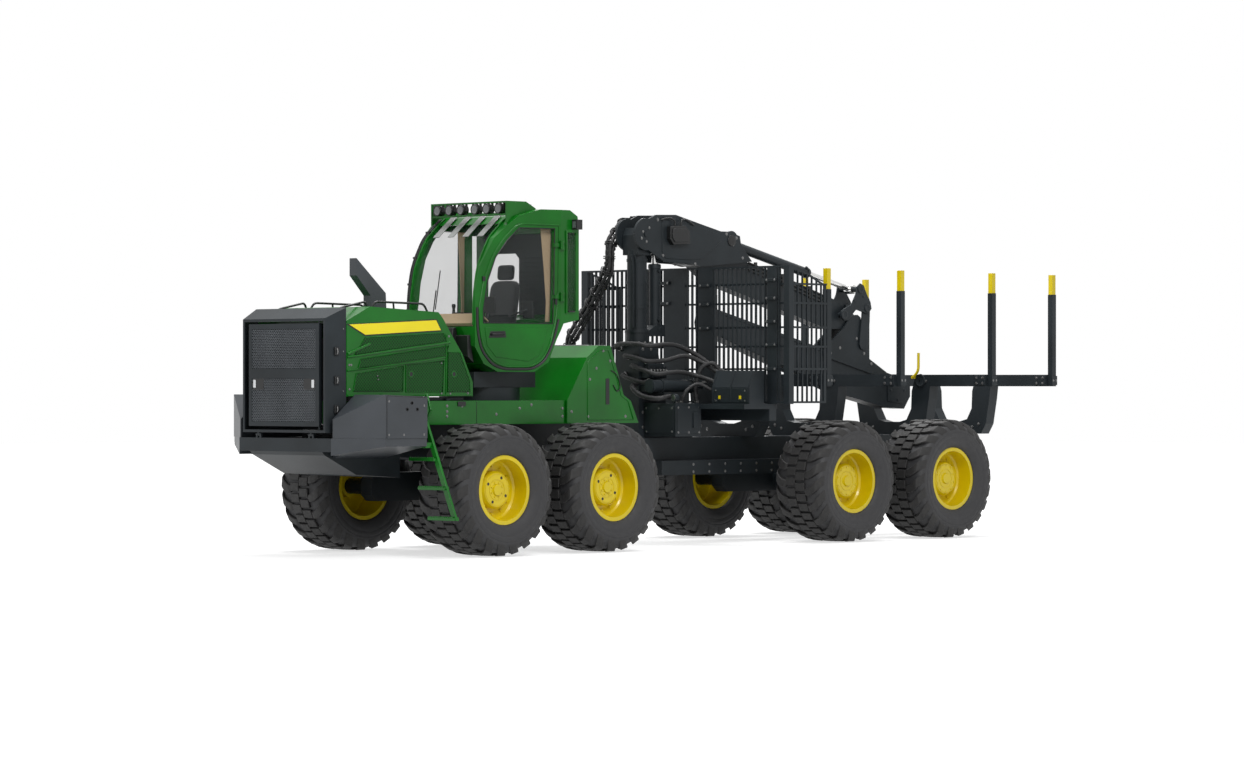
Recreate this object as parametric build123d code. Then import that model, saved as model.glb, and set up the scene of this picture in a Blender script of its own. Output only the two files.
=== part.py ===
import os
from math import cos, hypot, radians, sin

from build123d import *

# Eight-wheeled forestry forwarder with a turning cab and a timber crane.
# Millimetres. +X forward, +Y to the machine's left, +Z up, ground at z = 0.

# Wheels and bogies
TYRE_R = 750.0
TYRE_W = 760.0
CARCASS_R = 716.0
LUG_COUNT = 18
LUG_SHARE = 0.62
LUG_ROOT = 40.0
SHOULDER_Y = 338.0
RIM_R = 370.0
RIM_W = 584.0
FLANGE_R = 391.0
FLANGE_T = 14.0
SEAT_GAP = 0.3
RIM_WALL = 24.0
DISC_Y = 60.0
DISC_T = 30.0
HUB_R = 215.0
HUB_H = 95.0
STUB_R = 90.0
RUN_GAP = 0.05
TRACK_HALF = 1185.0
FRONT_BOGIE_X = 2990.0
FRONT_TYRE_GAP = 240.0
FRONT_BOGIE_HALF = TYRE_R + FRONT_TYRE_GAP / 2
REAR_BOGIE_X = -2970.0
REAR_TYRE_GAP = 370.0
REAR_BOGIE_HALF = TYRE_R + REAR_TYRE_GAP / 2
CASE_H = 330.0
CASE_T = 190.0
CASE_GAP = 35.0
AXLE_R = 165.0
DIFF_R = 290.0

# Steering joint between the two frames
HINGE_X = 750.0
HINGE_Z = 1180.0
HINGE_R = 110.0
YOKE_T = 70.0
YOKE_HALF_H = 190.0
ROLL_R = 150.0
ROLL_X = 420.0
MOVE_GAP = 8.0
STEER_PIN_TURN = 60.0
TRUNNION_R = 100.0
TRUNNION_L = 160.0
STEER_FOOT = (1750.0, 400.0)
STEER_EYE = (700.0, 330.0)
STEER_PIN_R = 25.0

# Front frame and platform
RAIL_Y = 760.0
RAIL_Z0 = 1480.0
RAIL_Z1 = 1750.0
RAIL_X0 = 2200.0
RAIL_X1 = 4680.0
DECK_T = 15.0
SPINE_Y = 300.0
NECK_Y = 190.0
NECK_X1 = 1420.0
SPINE_Z0 = 960.0
SPINE_TOP = 1480.0
SPINE_BOTTOM = 1060.0
SPINE_X0 = 960.0
SPINE_X1 = 5300.0

# Nose: hood, cowl and grille door
HOOD_Y = 780.0
HOOD_T = 25.0
HOOD_X0 = 3680.0
HOOD_X1 = 5580.0
HOOD_Z0 = 1800.0
HOOD_TOP = 2800.0
COWL_X1 = 5830.0
COWL_Z0 = 1400.0
COWL_TOP = 2665.0
COWL_FRONT_Y = 650.0
COWL_WALL = 30.0
BUMPER_Y = 784.0
BUMPER_X0 = 5640.0
BELLY_Y = 620.0
BUMPER_Z0 = 1190.0
BUMPER_Z1 = 1340.0
LADDER_GAP = 125.0
LADDER_X = FRONT_BOGIE_X + FRONT_BOGIE_HALF + TYRE_R + LADDER_GAP
LADDER_STAY = 115.0
SIDE_BOX_X0 = LADDER_X + LADDER_STAY
GRILLE_Y = 600.0
GRILLE_Z0 = 1470.0
GRILLE_Z1 = 2610.0
GRILLE_T = 45.0
GRILLE_GAP = 12.0
GRILLE_PIN = (5815.0, 590.0)
GRILLE_PIN_R = 8.0
GRILLE_PIN_L = 40.0
NOSE_PIN = (5800.0, 1378.0)
NOSE_PIN_R = 12.0
NOSE_KNUCKLE_Y = 450.0

# Cab
CAB_X = 2850.0
CAB_WALL = 60.0
ROOF_Z = 3960.0
RING_R = 430.0
RING_H = 150.0
CAB_FLOOR_Z = 1900.0
CAB_BASE_Z = 2080.0
DOOR_PIN = (2352.0, 868.0)
DOOR_PIN_R = 9.0
DOOR_HINGE_ZS = (2950.0, 3550.0)
GLASS_IN = 22.0
GLASS_T = 6.0
DOOR_GAP = 6.0

# Crane, in the plane y = 0
COLUMN_X = 240.0
COLUMN_R = 120.0
COLLAR_R = 138.0
COLUMN_Z0 = 2420.0
COLLAR_Z1 = 2600.0
COLUMN_Z1 = 3560.0
BOOM_PIVOT = (250.0, 3750.0)
LIFT_FOOT = (-65.0, 2600.0)
LIFT_EYE = (-63.0, 3570.0)
JIB_CYL_FOOT = (-1250.0, 3710.0)
JIB_CYL_EYE = (-3640.0, 3150.0)
JIB_PIVOT = (-3600.0, 2730.0)
ROCKER_PIVOT = (-3330.0, 2820.0)
LINK_TOP = (-3770.0, 2910.0)
LINK_FOOT = (-3710.0, 2450.0)
LINK_PLATE = 18.0
PLATE_GAP = 5.0
TIP_PIN = (-945.0, 2545.0)
TIP_PIN_R = 25.0
LINK_EYE_DROP = 290.0
LINK_EYE_HALF = 45.0
LINK_BORE_R = 22.5
LINK_EYE_R = 52.0
EYE_GAP = 2.0
EYE_HALF_W = 60.0
BOOM_HALF_W = 95.0
BOOM_HEAD_R = 195.0
HEAD_HALF_W = 170.0
HEAD_PLATE_T = 30.0
JIB_HALF_W = 105.0
JIB_PLATE_T = 25.0
LINK_Y0 = JIB_HALF_W + JIB_PLATE_T + PLATE_GAP
LINK_Y1 = LINK_Y0 + LINK_PLATE
ROCKER_Y0 = LINK_Y1 + PLATE_GAP
ROCKER_Y1 = ROCKER_Y0 + LINK_PLATE
PIN_R = 35.0
HOSE_R = 21.0
HOSE_PITCH = 46.0
HOSE_BEND = 160.0
HOSE_X0 = 10.0
HOSE_BRACKET_Y = -200.0

# Load space
GATE_X = -570.0
GATE_HALF = 1770.0
GATE_Z0 = 1710.0
GATE_Z1 = 3400.0
WING_LEN = 670.0
WING_DROP = 230.0
BAR_PITCH = 76.0
BAR_W = 18.0
BAR_D = 28.0
BUNK_XS = (-1420.0, -2780.0, -4540.0, -5750.0)
BUNK_T = 160.0
BUNK_BASE_Z = 1290.0
ARM_Z0 = 1910.0
ARM_Z1 = 2060.0
STAKE_Y = 1600.0
STAKE_A = 75.0
STAKE_Z1 = 3090.0
TIP_A = 65.0
STAKE_TOP = 3340.0

# Rear frame
BEAM_Y = 260.0
BEAM_Z0 = 1010.0
BEAM_X0 = -5700.0
SHELF_Z1 = 1700.0
SLEW_Y = 450.0
SLEW_Z = 1915.0
SLEW_R = 75.0


def block(x0, x1, y0, y1, z0, z1):
    """Box between two corners."""
    return Pos((x0 + x1) / 2, (y0 + y1) / 2, (z0 + z1) / 2) * Box(abs(x1 - x0), abs(y1 - y0), abs(z1 - z0))


def slab(points, y0, y1):
    """Outline in the XZ plane, carried along Y from y0 to y1."""
    face = make_face(Polyline([(x, y0, z) for x, z in points], close=True))
    return extrude(face, amount=y1 - y0, dir=(0, 1, 0))


def frame_slab(points, x0, x1):
    """Outline in the YZ plane, carried along X from x0 to x1."""
    face = make_face(Polyline([(x0, y, z) for y, z in points], close=True))
    return extrude(face, amount=x1 - x0, dir=(1, 0, 0))


def plan(points, z0, z1):
    """Outline in the XY plane, carried up from z0 to z1."""
    face = make_face(Polyline([(x, y, z0) for x, y in points], close=True))
    return extrude(face, amount=z1 - z0, dir=(0, 0, 1))


def rod(a, b, r):
    """Round bar between two points."""
    a, b = Vector(a), Vector(b)
    line = b - a
    return Plane(origin=a, z_dir=line) * Cylinder(r, line.length,
                                                  align=(Align.CENTER, Align.CENTER, Align.MIN))


def pin_y(x, z, y0, y1, r):
    """Round pin along Y."""
    return rod((x, y0, z), (x, y1, z), r)


def mirrored(shape):
    """The shape on the other side of the machine's middle."""
    return shape.mirror(Plane.XZ)


def raised(shape, height):
    """A piece, or each piece of a list, moved up."""
    if isinstance(shape, (list, tuple)):
        return [Pos(0, 0, height) * piece for piece in shape]
    return Pos(0, 0, height) * shape


def fuse(shapes):
    """One solid from pieces that are welded together."""
    shapes = list(shapes)
    return shapes[0].fuse(*shapes[1:]) if len(shapes) > 1 else shapes[0]


def save(name, shape):
    """Write one node as a STEP file; a list becomes a group of separate solids."""
    if isinstance(shape, (list, tuple)):
        shape = Compound(children=[s for piece in shape for s in piece.solids()])
    export_step(shape, "parts/" + name + ".step")


# Wheels

def tread(side):
    """Half of the tread: a ring of lugs from the middle to one shoulder."""
    pitch = 360.0 / LUG_COUNT
    root = pitch * LUG_SHARE
    crown = root * 0.8
    corner_r = TYRE_R / cos(radians(crown / 2))
    marks = [
        # angle within a pitch, radius
        (-root / 2, CARCASS_R),
        (-crown / 2, corner_r),
        (crown / 2, corner_r),
        (root / 2, CARCASS_R),
    ]
    start = 0.0 if side > 0 else pitch / 2
    points = []
    for i in range(LUG_COUNT):
        for angle, r in marks:
            t = radians(i * pitch + angle + start)
            points.append((r * sin(t), r * cos(t)))
    y0, y1 = sorted((0, side * SHOULDER_Y))
    return slab(points, y0, y1) - rod((0, y0 - 1, 0), (0, y1 + 1, 0), CARCASS_R - LUG_ROOT)


def tyre():
    """Wide forestry tyre about the Y axis, out to its lug tips."""
    half = TYRE_W / 2
    bead = RIM_W / 2
    section = [
        (bead, RIM_R + SEAT_GAP),
        (bead, FLANGE_R + SEAT_GAP),
        (half - 12, 480),
        (half, 590),
        (SHOULDER_Y, CARCASS_R - 10),
    ]
    outline = [(y, r) for y, r in section] + [(-y, r) for y, r in reversed(section)]
    face = make_face(Polyline([(0, y, r) for y, r in outline], close=True))
    body = revolve(face, Axis.Y, 360)
    return fuse([body, tread(1), tread(-1)])


def rim():
    """Deep dished rim with its hub, outer side towards +Y."""
    half = RIM_W / 2
    inner = RIM_R - RIM_WALL
    outline = [
        (-half, RIM_R), (-half, FLANGE_R), (-half - FLANGE_T, FLANGE_R), (-half - FLANGE_T, inner),
        (DISC_Y, inner), (DISC_Y, 130), (-60, 130), (-60, STUB_R + RUN_GAP), (21, STUB_R + RUN_GAP),
        (21, 0), (DISC_Y + DISC_T + HUB_H + 20, 0), (DISC_Y + DISC_T + HUB_H + 20, 60),
        (DISC_Y + DISC_T + HUB_H, 70), (DISC_Y + DISC_T + HUB_H, HUB_R - 25),
        (DISC_Y + DISC_T + HUB_H - 30, HUB_R),
        (DISC_Y + DISC_T, HUB_R), (DISC_Y + DISC_T, inner - 20), (DISC_Y + DISC_T + 20, inner),
        (half + FLANGE_T, inner), (half + FLANGE_T, FLANGE_R), (half, FLANGE_R), (half, RIM_R),
    ]
    face = make_face(Polyline([(0, y, r) for y, r in outline], close=True))
    return revolve(face, Axis.Y, 360)


WHEELS = [
    # name, bogie centre x, offset x, side
    ("f1l", FRONT_BOGIE_X, FRONT_BOGIE_HALF, 1),
    ("f2l", FRONT_BOGIE_X, -FRONT_BOGIE_HALF, 1),
    ("f1r", FRONT_BOGIE_X, FRONT_BOGIE_HALF, -1),
    ("f2r", FRONT_BOGIE_X, -FRONT_BOGIE_HALF, -1),
    ("r1l", REAR_BOGIE_X, REAR_BOGIE_HALF, 1),
    ("r2l", REAR_BOGIE_X, -REAR_BOGIE_HALF, 1),
    ("r1r", REAR_BOGIE_X, REAR_BOGIE_HALF, -1),
    ("r2r", REAR_BOGIE_X, -REAR_BOGIE_HALF, -1),
]


def bogies(cx, half, top):
    """Axle with a bogie case and two wheel stubs on each side, bolted up to top."""
    y_out = TRACK_HALF - TYRE_W / 2 - CASE_GAP
    y_in = y_out - CASE_T
    pieces = [rod((cx, -y_in - 10, TYRE_R), (cx, y_in + 10, TYRE_R), AXLE_R)]
    pieces.append(rod((cx - DIFF_R + 40, 0, TYRE_R), (cx + DIFF_R - 40, 0, TYRE_R), DIFF_R - 60))
    pieces.append(block(cx - 210, cx + 210, -240, 240, TYRE_R, top - SEAT_GAP))
    for side in (-1, 1):
        outline = [(cx - half - 150, TYRE_R - 90), (cx - half - 150, TYRE_R + 90),
                   (cx - half - 70, TYRE_R + CASE_H / 2),
                   (cx + half + 70, TYRE_R + CASE_H / 2), (cx + half + 150, TYRE_R + 90),
                   (cx + half + 150, TYRE_R - 90), (cx + half + 70, TYRE_R - CASE_H / 2),
                   (cx - half - 70, TYRE_R - CASE_H / 2)]
        y0, y1 = sorted((side * y_in, side * y_out))
        pieces.append(slab(outline, y0, y1))
        for k in (-1, 1):
            x = cx + k * half
            pieces.append(rod((x, side * (y_out - 5), TYRE_R), (x, side * (TRACK_HALF + 20), TYRE_R), STUB_R))
    return fuse(pieces)


# Front frame

def front_frame():
    """Green platform over the front wheels: side rails, deck and cross plates."""
    pieces = [block(RAIL_X0, RAIL_X1, -RAIL_Y, RAIL_Y, RAIL_Z1 - DECK_T, RAIL_Z1)]
    for side in (-1, 1):
        y0, y1 = sorted((side * RAIL_Y, side * (RAIL_Y - 30)))
        pieces.append(block(RAIL_X0, RAIL_X1, y0, y1, RAIL_Z0, RAIL_Z1))
    for x in (RAIL_X0, 3000.0, RAIL_X1 - 30):
        pieces.append(block(x, x + 30, -RAIL_Y, RAIL_Y, RAIL_Z0, RAIL_Z1))
    return fuse(pieces)


def front_chassis():
    """Dark centre frame that carries the axle, the hinge ears and the nose."""
    spine = slab([(SPINE_X0, SPINE_Z0), (SPINE_X0, 1440), (1400, SPINE_TOP), (SPINE_X1, SPINE_TOP),
                  (SPINE_X1, 1180),
                  (3700, SPINE_BOTTOM), (2300, SPINE_BOTTOM), (1400, SPINE_Z0)], -SPINE_Y, SPINE_Y)
    for side in (-1, 1):
        cheek = [(SPINE_X0 - 1, side * NECK_Y), (NECK_X1 - 150, side * NECK_Y),
                 (NECK_X1, side * (SPINE_Y + 1)),
                 (SPINE_X0 - 1, side * (SPINE_Y + 1))]
        spine = spine - plan(cheek, 800, 1600)
    belly = slab([(5800, 1190), (5760, 1150), (5300, 930), (4650, 890), (4650, 1340), (5800, 1340)],
                 -BELLY_Y, BELLY_Y)
    bumper = block(BUMPER_X0, 5815, -BUMPER_Y, BUMPER_Y, BUMPER_Z0, BUMPER_Z1)
    pieces = [spine, belly, bumper]
    for side in (-1, 1):
        y0, y1 = sorted((side * (SPINE_Y - 5), side * (STEER_FOOT[1] + 60)))
        for z in (HINGE_Z - 75, HINGE_Z + 50):
            pieces.append(block(STEER_FOOT[0] - 70, STEER_FOOT[0] + 90, y0, y1, z, z + 25))
        pieces.append(rod((STEER_FOOT[0], side * STEER_FOOT[1], HINGE_Z - 75),
                          (STEER_FOOT[0], side * STEER_FOOT[1], HINGE_Z + 75), STEER_PIN_R))
    for side in (-1, 1):
        for dy in (-31, 31):
            y = side * NOSE_KNUCKLE_Y + dy
            ear = block(NOSE_PIN[0] - 20, NOSE_PIN[0] + 15, y - 14, y + 14, BUMPER_Z1 - 2, NOSE_PIN[1])
            pieces.append(ear.fuse(pin_y(NOSE_PIN[0], NOSE_PIN[1], y - 14, y + 14, 20)))
        y = side * NOSE_KNUCKLE_Y
        pieces.append(pin_y(NOSE_PIN[0], NOSE_PIN[1], y - 45, y + 45, NOSE_PIN_R))
    for z in (HINGE_Z - YOKE_HALF_H - YOKE_T, HINGE_Z + YOKE_HALF_H):
        ear = plan([(HINGE_X, -130), (HINGE_X, 130), (SPINE_X0 + 10, NECK_Y), (SPINE_X0 + 10, -NECK_Y)], z,
                   z + YOKE_T)
        ear = ear.fuse(rod((HINGE_X, 0, z), (HINGE_X, 0, z + YOKE_T), 130))
        pieces.append(ear)
    return fuse(pieces) - rod((HINGE_X, 0, 800), (HINGE_X, 0, 1600), STEER_PIN_TURN + RUN_GAP)


def side_box(side=1):
    """Bow-shaped storage box and step beside the hood."""
    inner = BUMPER_Y + SEAT_GAP
    outline = [(5790, inner), (5790, 800), (5470, 1300), (SIDE_BOX_X0, 1300), (SIDE_BOX_X0, inner)]
    box_ = plan(outline, BUMPER_Z1 + SEAT_GAP, 1830)
    cutter = slab([(5900, 1500), (5790, 1550), (5470, 1822), (4600, 1790), (4600, 2000), (5900, 2000)], 500,
                  1400)
    box_ = box_ - cutter
    return box_ if side > 0 else mirrored(box_)


def side_skirt(side=1):
    """Plate box below the side box, from the belly out to its edge, with a rising underside."""
    inner = BELLY_Y + SEAT_GAP
    rear = BUMPER_X0 - SEAT_GAP
    outline = [(5815, BUMPER_Y + SEAT_GAP), (5470, 1290), (SIDE_BOX_X0, 1290), (SIDE_BOX_X0, inner),
               (rear, inner),
               (rear, BUMPER_Y + SEAT_GAP)]
    profile = [(inner - 5, BUMPER_Z1), (inner - 5, 1120), (780, 1150), (1300, 1255), (1300, BUMPER_Z1)]
    skirt = plan(outline, 1100, BUMPER_Z1) & frame_slab(profile, SIDE_BOX_X0 - 5, 5900)
    return skirt if side > 0 else mirrored(skirt)


def rear_tank():
    """Green tank and fender across the frame behind the cab."""
    outline = [(1680, 2390), (1480, 2390), (1380, 2130), (1260, 1810), (1140, 1740), (1010, 1480),
               (2190, 1480), (2190, 1750), (1870, 2250)]
    return slab(outline, -790, 790)


STEPS = [
    # outer end y, top z
    (1170, 1440),
    (1340, 1115),
    (1490, 795),
    (1650, 460),
]


def ladder():
    """Boarding ladder that leans outwards ahead of the first left wheel."""
    x = LADDER_X
    pieces = [frame_slab([(1025, 1700), (1090, 1700), (1662, 430), (1597, 430)], x - 15, x + 15)]
    for y_out, z in STEPS:
        pieces.append(block(x - 35, x + 60, y_out - 410, y_out, z - 30, z))
    loop = [(x, 1060, 1690), (x, 1165, 1825), (x, 1225, 1650), (x, 1150, 1515)]
    for a, b in zip(loop, loop[1:]):
        pieces.append(rod(a, b, 15))
    for y, z in ((1070, 1640), (1215, 1230)):
        pieces.append(block(x, SIDE_BOX_X0 - SEAT_GAP, y - 50, y + 50, z, z + 60))
    return fuse(pieces)


# Nose

def hood():
    """Green hood: a hollow shell, open below, that tilts forward with the cowl."""
    outline = [(HOOD_X1, HOOD_Z0), (HOOD_X1, 2640), (5240, HOOD_TOP), (4210, 2750), (4140, 2680),
               (4010, 2500),
               (3840, 2280), (HOOD_X0, 1960), (HOOD_X0, HOOD_Z0)]
    outer = slab(outline, -HOOD_Y, HOOD_Y)
    core = [(HOOD_X1 + 5, HOOD_Z0 - 5), (HOOD_X1 + 5, 2605), (5235, HOOD_TOP - HOOD_T), (4222, 2725),
            (4162, 2665),
            (4032, 2485), (3862, 2265), (HOOD_X0 + HOOD_T, 1950), (HOOD_X0 + HOOD_T, HOOD_Z0 - 5)]
    inner = slab(core, -HOOD_Y + HOOD_T, HOOD_Y - HOOD_T)
    return outer - inner


def cowl():
    """Dark nose cowl round the grille door."""
    def form(inset, x0):
        lower = plan([(x0, -770 + inset), (COWL_X1, -COWL_FRONT_Y - 55 + inset),
                      (COWL_X1, COWL_FRONT_Y + 55 - inset),
                      (x0, 770 - inset)], COWL_Z0 - 1, 2900)
        side = slab([(x0, COWL_Z0 + inset), (COWL_X1, COWL_Z0 + inset), (COWL_X1, COWL_TOP - inset),
                     (x0, COWL_TOP + 120 - inset)], -900, 900)
        return lower & side
    outer = form(0, HOOD_X1)
    inner = form(COWL_WALL, HOOD_X1 - 1)
    opening = block(COWL_X1 - 200, COWL_X1 + 10, -GRILLE_Y - GRILLE_GAP, GRILLE_Y + GRILLE_GAP,
                    GRILLE_Z0 - GRILLE_GAP, GRILLE_Z1 + GRILLE_GAP)
    hinge = []
    for side in (-1, 1):
        y = side * NOSE_KNUCKLE_Y
        knuckle = block(NOSE_PIN[0] - 20, NOSE_PIN[0] + 20, y - 15, y + 15, NOSE_PIN[1], COWL_Z0 + 2)
        hinge.append(knuckle.fuse(pin_y(NOSE_PIN[0], NOSE_PIN[1], y - 15, y + 15, 20)))
    z0 = GRILLE_Z0 - GRILLE_GAP - GRILLE_PIN_L
    z1 = GRILLE_Z1 + GRILLE_GAP + GRILLE_PIN_L
    whole = fuse([outer - inner - opening] + hinge)
    whole = whole - pin_y(NOSE_PIN[0], NOSE_PIN[1], -600, 600, NOSE_PIN_R + RUN_GAP)
    return whole - rod((GRILLE_PIN[0], GRILLE_PIN[1], z0), (GRILLE_PIN[0], GRILLE_PIN[1], z1),
                       GRILLE_PIN_R + RUN_GAP)


def grille_door():
    """Hinged front door: a frame with two grilles of bars."""
    x0, x1 = COWL_X1 - GRILLE_T, COWL_X1
    frame = block(x0, x1, -GRILLE_Y, GRILLE_Y, GRILLE_Z0, GRILLE_Z1)
    frame = frame - block(x0 - 1, x1 + 1, -GRILLE_Y + 50, GRILLE_Y - 60, 2110, GRILLE_Z1 - 60)
    frame = frame - block(x0 - 1, x1 + 1, -GRILLE_Y + 50, GRILLE_Y - 60, GRILLE_Z0 + 50, 2000)
    bars = []
    for z0, z1 in ((2110, GRILLE_Z1 - 60), (GRILLE_Z0 + 50, 2000)):
        count = 8
        for i in range(count):
            z = z0 + (z1 - z0) * (i + 0.5) / count
            bars.append(block(x0 + 12, x0 + 20, -GRILLE_Y + 45, GRILLE_Y - 55, z - 12, z + 12))
    z0 = GRILLE_Z0 - GRILLE_GAP - GRILLE_PIN_L + SEAT_GAP
    z1 = GRILLE_Z1 + GRILLE_GAP + GRILLE_PIN_L - SEAT_GAP
    pins = [rod((GRILLE_PIN[0], GRILLE_PIN[1], z0), (GRILLE_PIN[0], GRILLE_PIN[1], GRILLE_Z0 + 20),
                GRILLE_PIN_R),
            rod((GRILLE_PIN[0], GRILLE_PIN[1], GRILLE_Z1 - 20), (GRILLE_PIN[0], GRILLE_PIN[1], z1),
                GRILLE_PIN_R)]
    return fuse([frame] + bars + pins)


def exhaust():
    """Slab-shaped exhaust stack, cut on a slant, on top of the hood."""
    return slab([(4350, 2757.1), (4594, 2769), (4594, 2944), (4804, 3167), (4804, 3363), (4362, 2974)], -60,
                60)


# Cab

CAB_PLAN = [(3520, 0), (3500, 300), (3440, 560), (2340, 840), (2060, 850), (2050, 0)]


def cab_form(inset):
    """Outer form of the cab, moved inwards by inset."""
    outline = CAB_PLAN + [(x, -y) for x, y in reversed(CAB_PLAN[1:-1])]
    base = make_face(Polyline([(x, y, 1700) for x, y in outline], close=True))
    prism = extrude(offset(base, amount=-inset, kind=Kind.INTERSECTION), amount=2500, dir=(0, 0, 1))
    side = [(3154, CAB_BASE_Z), (3330, 2170), (3450, 2380), (3490, 2620), (3460, 2940), (3380, 3300),
            (3200, 3620),
            (3040, 3760), (2890, 3880), (2600, ROOF_Z), (2200, ROOF_Z), (2080, 3890), (2050, 3700),
            (2050, 2690),
            (2300, 2640), (2395, 2459), (2503, 2192), (2684, CAB_BASE_Z)]
    face = make_face(Polyline([(x, -1000, z) for x, z in side], close=True))
    wall = extrude(offset(face, amount=-inset, kind=Kind.INTERSECTION), amount=2000, dir=(0, 1, 0))
    return prism & wall


DOOR_OUTLINE = [(2890, 3790), (3060, 3640), (3220, 3420), (3330, 3130), (3390, 2800), (3380, 2560),
                (3330, 2340),
                (3200, 2190), (3060, 2140), (2720, 2140), (2580, 2220), (2480, 2400), (2400, 2700),
                (2380, 3000),
                (2370, 3790)]
WINDOW_OUTLINE = [(2878, 3740), (3030, 3600), (3182, 3395), (3284, 3115), (3335, 2800), (3335, 2640),
                  (2450, 2640),
                  (2435, 3000), (2425, 3740)]
CAB_PANES = [
    # x0, x1, y0, y1, z0, z1
    (2900, 3600, -530, 530, 2600, 3790),
    (1900, 2200, -690, 690, 2760, 3700),
    (2350, 2850, -450, 450, 3800, 4000),
    (2105, 2235, 700, 900, 2790, 3700),
    (2105, 2235, -900, -700, 2790, 3700),
]


def grown(points, amount):
    """An outline in the XZ plane, as a face at y = 0, grown by amount."""
    face = make_face(Polyline([(x, 0, z) for x, z in points], close=True))
    return offset(face, amount=amount, kind=Kind.INTERSECTION) if amount else face


def side_cut(points, amount, y0, y1):
    """The grown outline carried from y0 to y1."""
    face = grown(points, amount).moved(Location((0, y0, 0)))
    return extrude(face, amount=y1 - y0, dir=(0, 1, 0))


def cab_shell():
    """Green cab frame with its window and door openings."""
    shell = cab_form(0) - cab_form(CAB_WALL)
    shell = shell - side_cut(DOOR_OUTLINE, 0, 350, 1000)
    shell = shell - side_cut(WINDOW_OUTLINE, 0, -1000, -350)
    for pane in CAB_PANES:
        shell = shell - block(*pane)
    x, y = DOOR_PIN
    hinge = []
    for z in DOOR_HINGE_ZS:
        for z0 in (z - 50, z + 24):
            hinge.append(block(x - 52, x, 830, y, z0, z0 + 26))
            hinge.append(rod((x, y, z0), (x, y, z0 + 26), 18))
        hinge.append(rod((x, y, z - 50), (x, y, z + 50), DOOR_PIN_R))
    return fuse([shell] + hinge)


def cab_glass():
    """Windscreen, rear, roof, quarter and far side panes."""
    skin = cab_form(GLASS_IN) - cab_form(GLASS_IN + GLASS_T)
    g = SEAT_GAP
    cuts = [block(x0 + g, x1 - g, y0 + g, y1 - g, z0 + g, z1 - g) for x0, x1, y0, y1, z0, z1 in CAB_PANES]
    cuts.append(side_cut(WINDOW_OUTLINE, -g, -1000, -350))
    return [skin & cut for cut in cuts]


def cab_door():
    """Door with its lower panel, in the left side wall."""
    skin = cab_form(0) - cab_form(CAB_WALL - 10)
    door = skin & side_cut(DOOR_OUTLINE, -DOOR_GAP, 350, 1000)
    door = door - side_cut(WINDOW_OUTLINE, 0, 350, 1000)
    x, y = DOOR_PIN
    hinge = []
    for z in DOOR_HINGE_ZS:
        hinge.append(rod((x, y, z - 22), (x, y, z + 22), 18))
        hinge.append(block(x, x + 92, 842, 854, z - 22, z + 22))
        hinge.append(block(x + 40, x + 92, 800, 850, z - 22, z + 22))
    whole = fuse([door] + hinge)
    for z in DOOR_HINGE_ZS:
        whole = whole - rod((x, y, z - 30), (x, y, z + 30), DOOR_PIN_R + RUN_GAP)
    return whole


def door_glass():
    skin = cab_form(GLASS_IN) - cab_form(GLASS_IN + GLASS_T)
    return skin & side_cut(WINDOW_OUTLINE, -SEAT_GAP, 350, 1000)


def cab_base():
    """Dark floor box under the cab, on its turning ring."""
    box_ = block(CAB_X - 500, CAB_X + 480, -420, 420, CAB_FLOOR_Z, CAB_BASE_Z)
    return fuse([box_, rod((CAB_X, 0, RAIL_Z1 + RING_H), (CAB_X, 0, CAB_FLOOR_Z + 5), RING_R)])


def seat():
    """Driver's seat: cushion, back and headrest as one soft solid."""
    cushion = slab([(2520, 2480), (2980, 2500), (2980, 2600), (2520, 2580)], -250, 250)
    back = slab([(2440, 2560), (2560, 2560), (2470, 3160), (2380, 3160)], -240, 240)
    head = slab([(2385, 3150), (2455, 3150), (2440, 3340), (2370, 3340)], -130, 130)
    return fuse([cushion, back, head])


def seat_base():
    """Seat pedestal with its arm consoles."""
    post = block(2720, 2860, -170, 170, 2140.3, 2479.7)
    arms = [block(2600, 3050, s * 290 - 40, s * 290 + 40, 2640, 2720) for s in (-1, 1)]
    stays = [block(2700, 2760, s * 290 - 40, s * 290 + 40, 2300, 2660) for s in (-1, 1)]
    cross = block(2700, 2760, -330, 330, 2260, 2340)
    return fuse([post, cross] + arms + stays)


def dash():
    """Low console under the windscreen."""
    return slab([(3060, 2140.3), (3120, 2145), (3240, 2240), (3360, 2420), (3390, 2600), (3280, 2720),
                 (3180, 2640),
                 (3100, 2400)], -330, 330)


LAMP_YS = [-520, -320, -120, 120, 320, 520]
LAMP_R = 60
RACK_Y = 645
RACK_X = 3005
RACK_TOP = ROOF_Z + 90


def lamp_rack():
    """Two rails between end plates, over the windscreen's top edge."""
    g = SEAT_GAP
    plate = [(RACK_X + 20, RACK_TOP), (2715, RACK_TOP), (2560, ROOF_Z + 15), (2560, ROOF_Z + g),
             (2600, ROOF_Z + g), (2890, 3880 + g),
             (3000, 3792 + g), (RACK_X + 20, 3792 + g)]
    pieces = [slab(plate, RACK_Y - 20, RACK_Y), slab(plate, -RACK_Y, -RACK_Y + 20)]
    for z in (RACK_TOP - 20, 3885):
        pieces.append(block(RACK_X - 15, RACK_X + 15, -RACK_Y + 5, RACK_Y - 5, z, z + 20))
    return fuse(pieces)


def work_lamps():
    """Round work lamps hung from the rack's upper rail, and a square one at each rear corner of the cab."""
    hang = RACK_TOP - 20 - SEAT_GAP
    z = hang - LAMP_R - 4
    lamps = []
    for y in LAMP_YS:
        body = rod((RACK_X - 45, y, z), (RACK_X + 40, y, z), LAMP_R)
        lamps.append(body.fuse(block(RACK_X - 12, RACK_X + 12, y - 12, y + 12, z, hang)))
    for side in (-1, 1):
        y0, y1 = sorted((side * (849.3 + SEAT_GAP), side * 930))
        lamps.append(block(2080, 2170, y0, y1, 3735, 3850))
    return lamps


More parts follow.
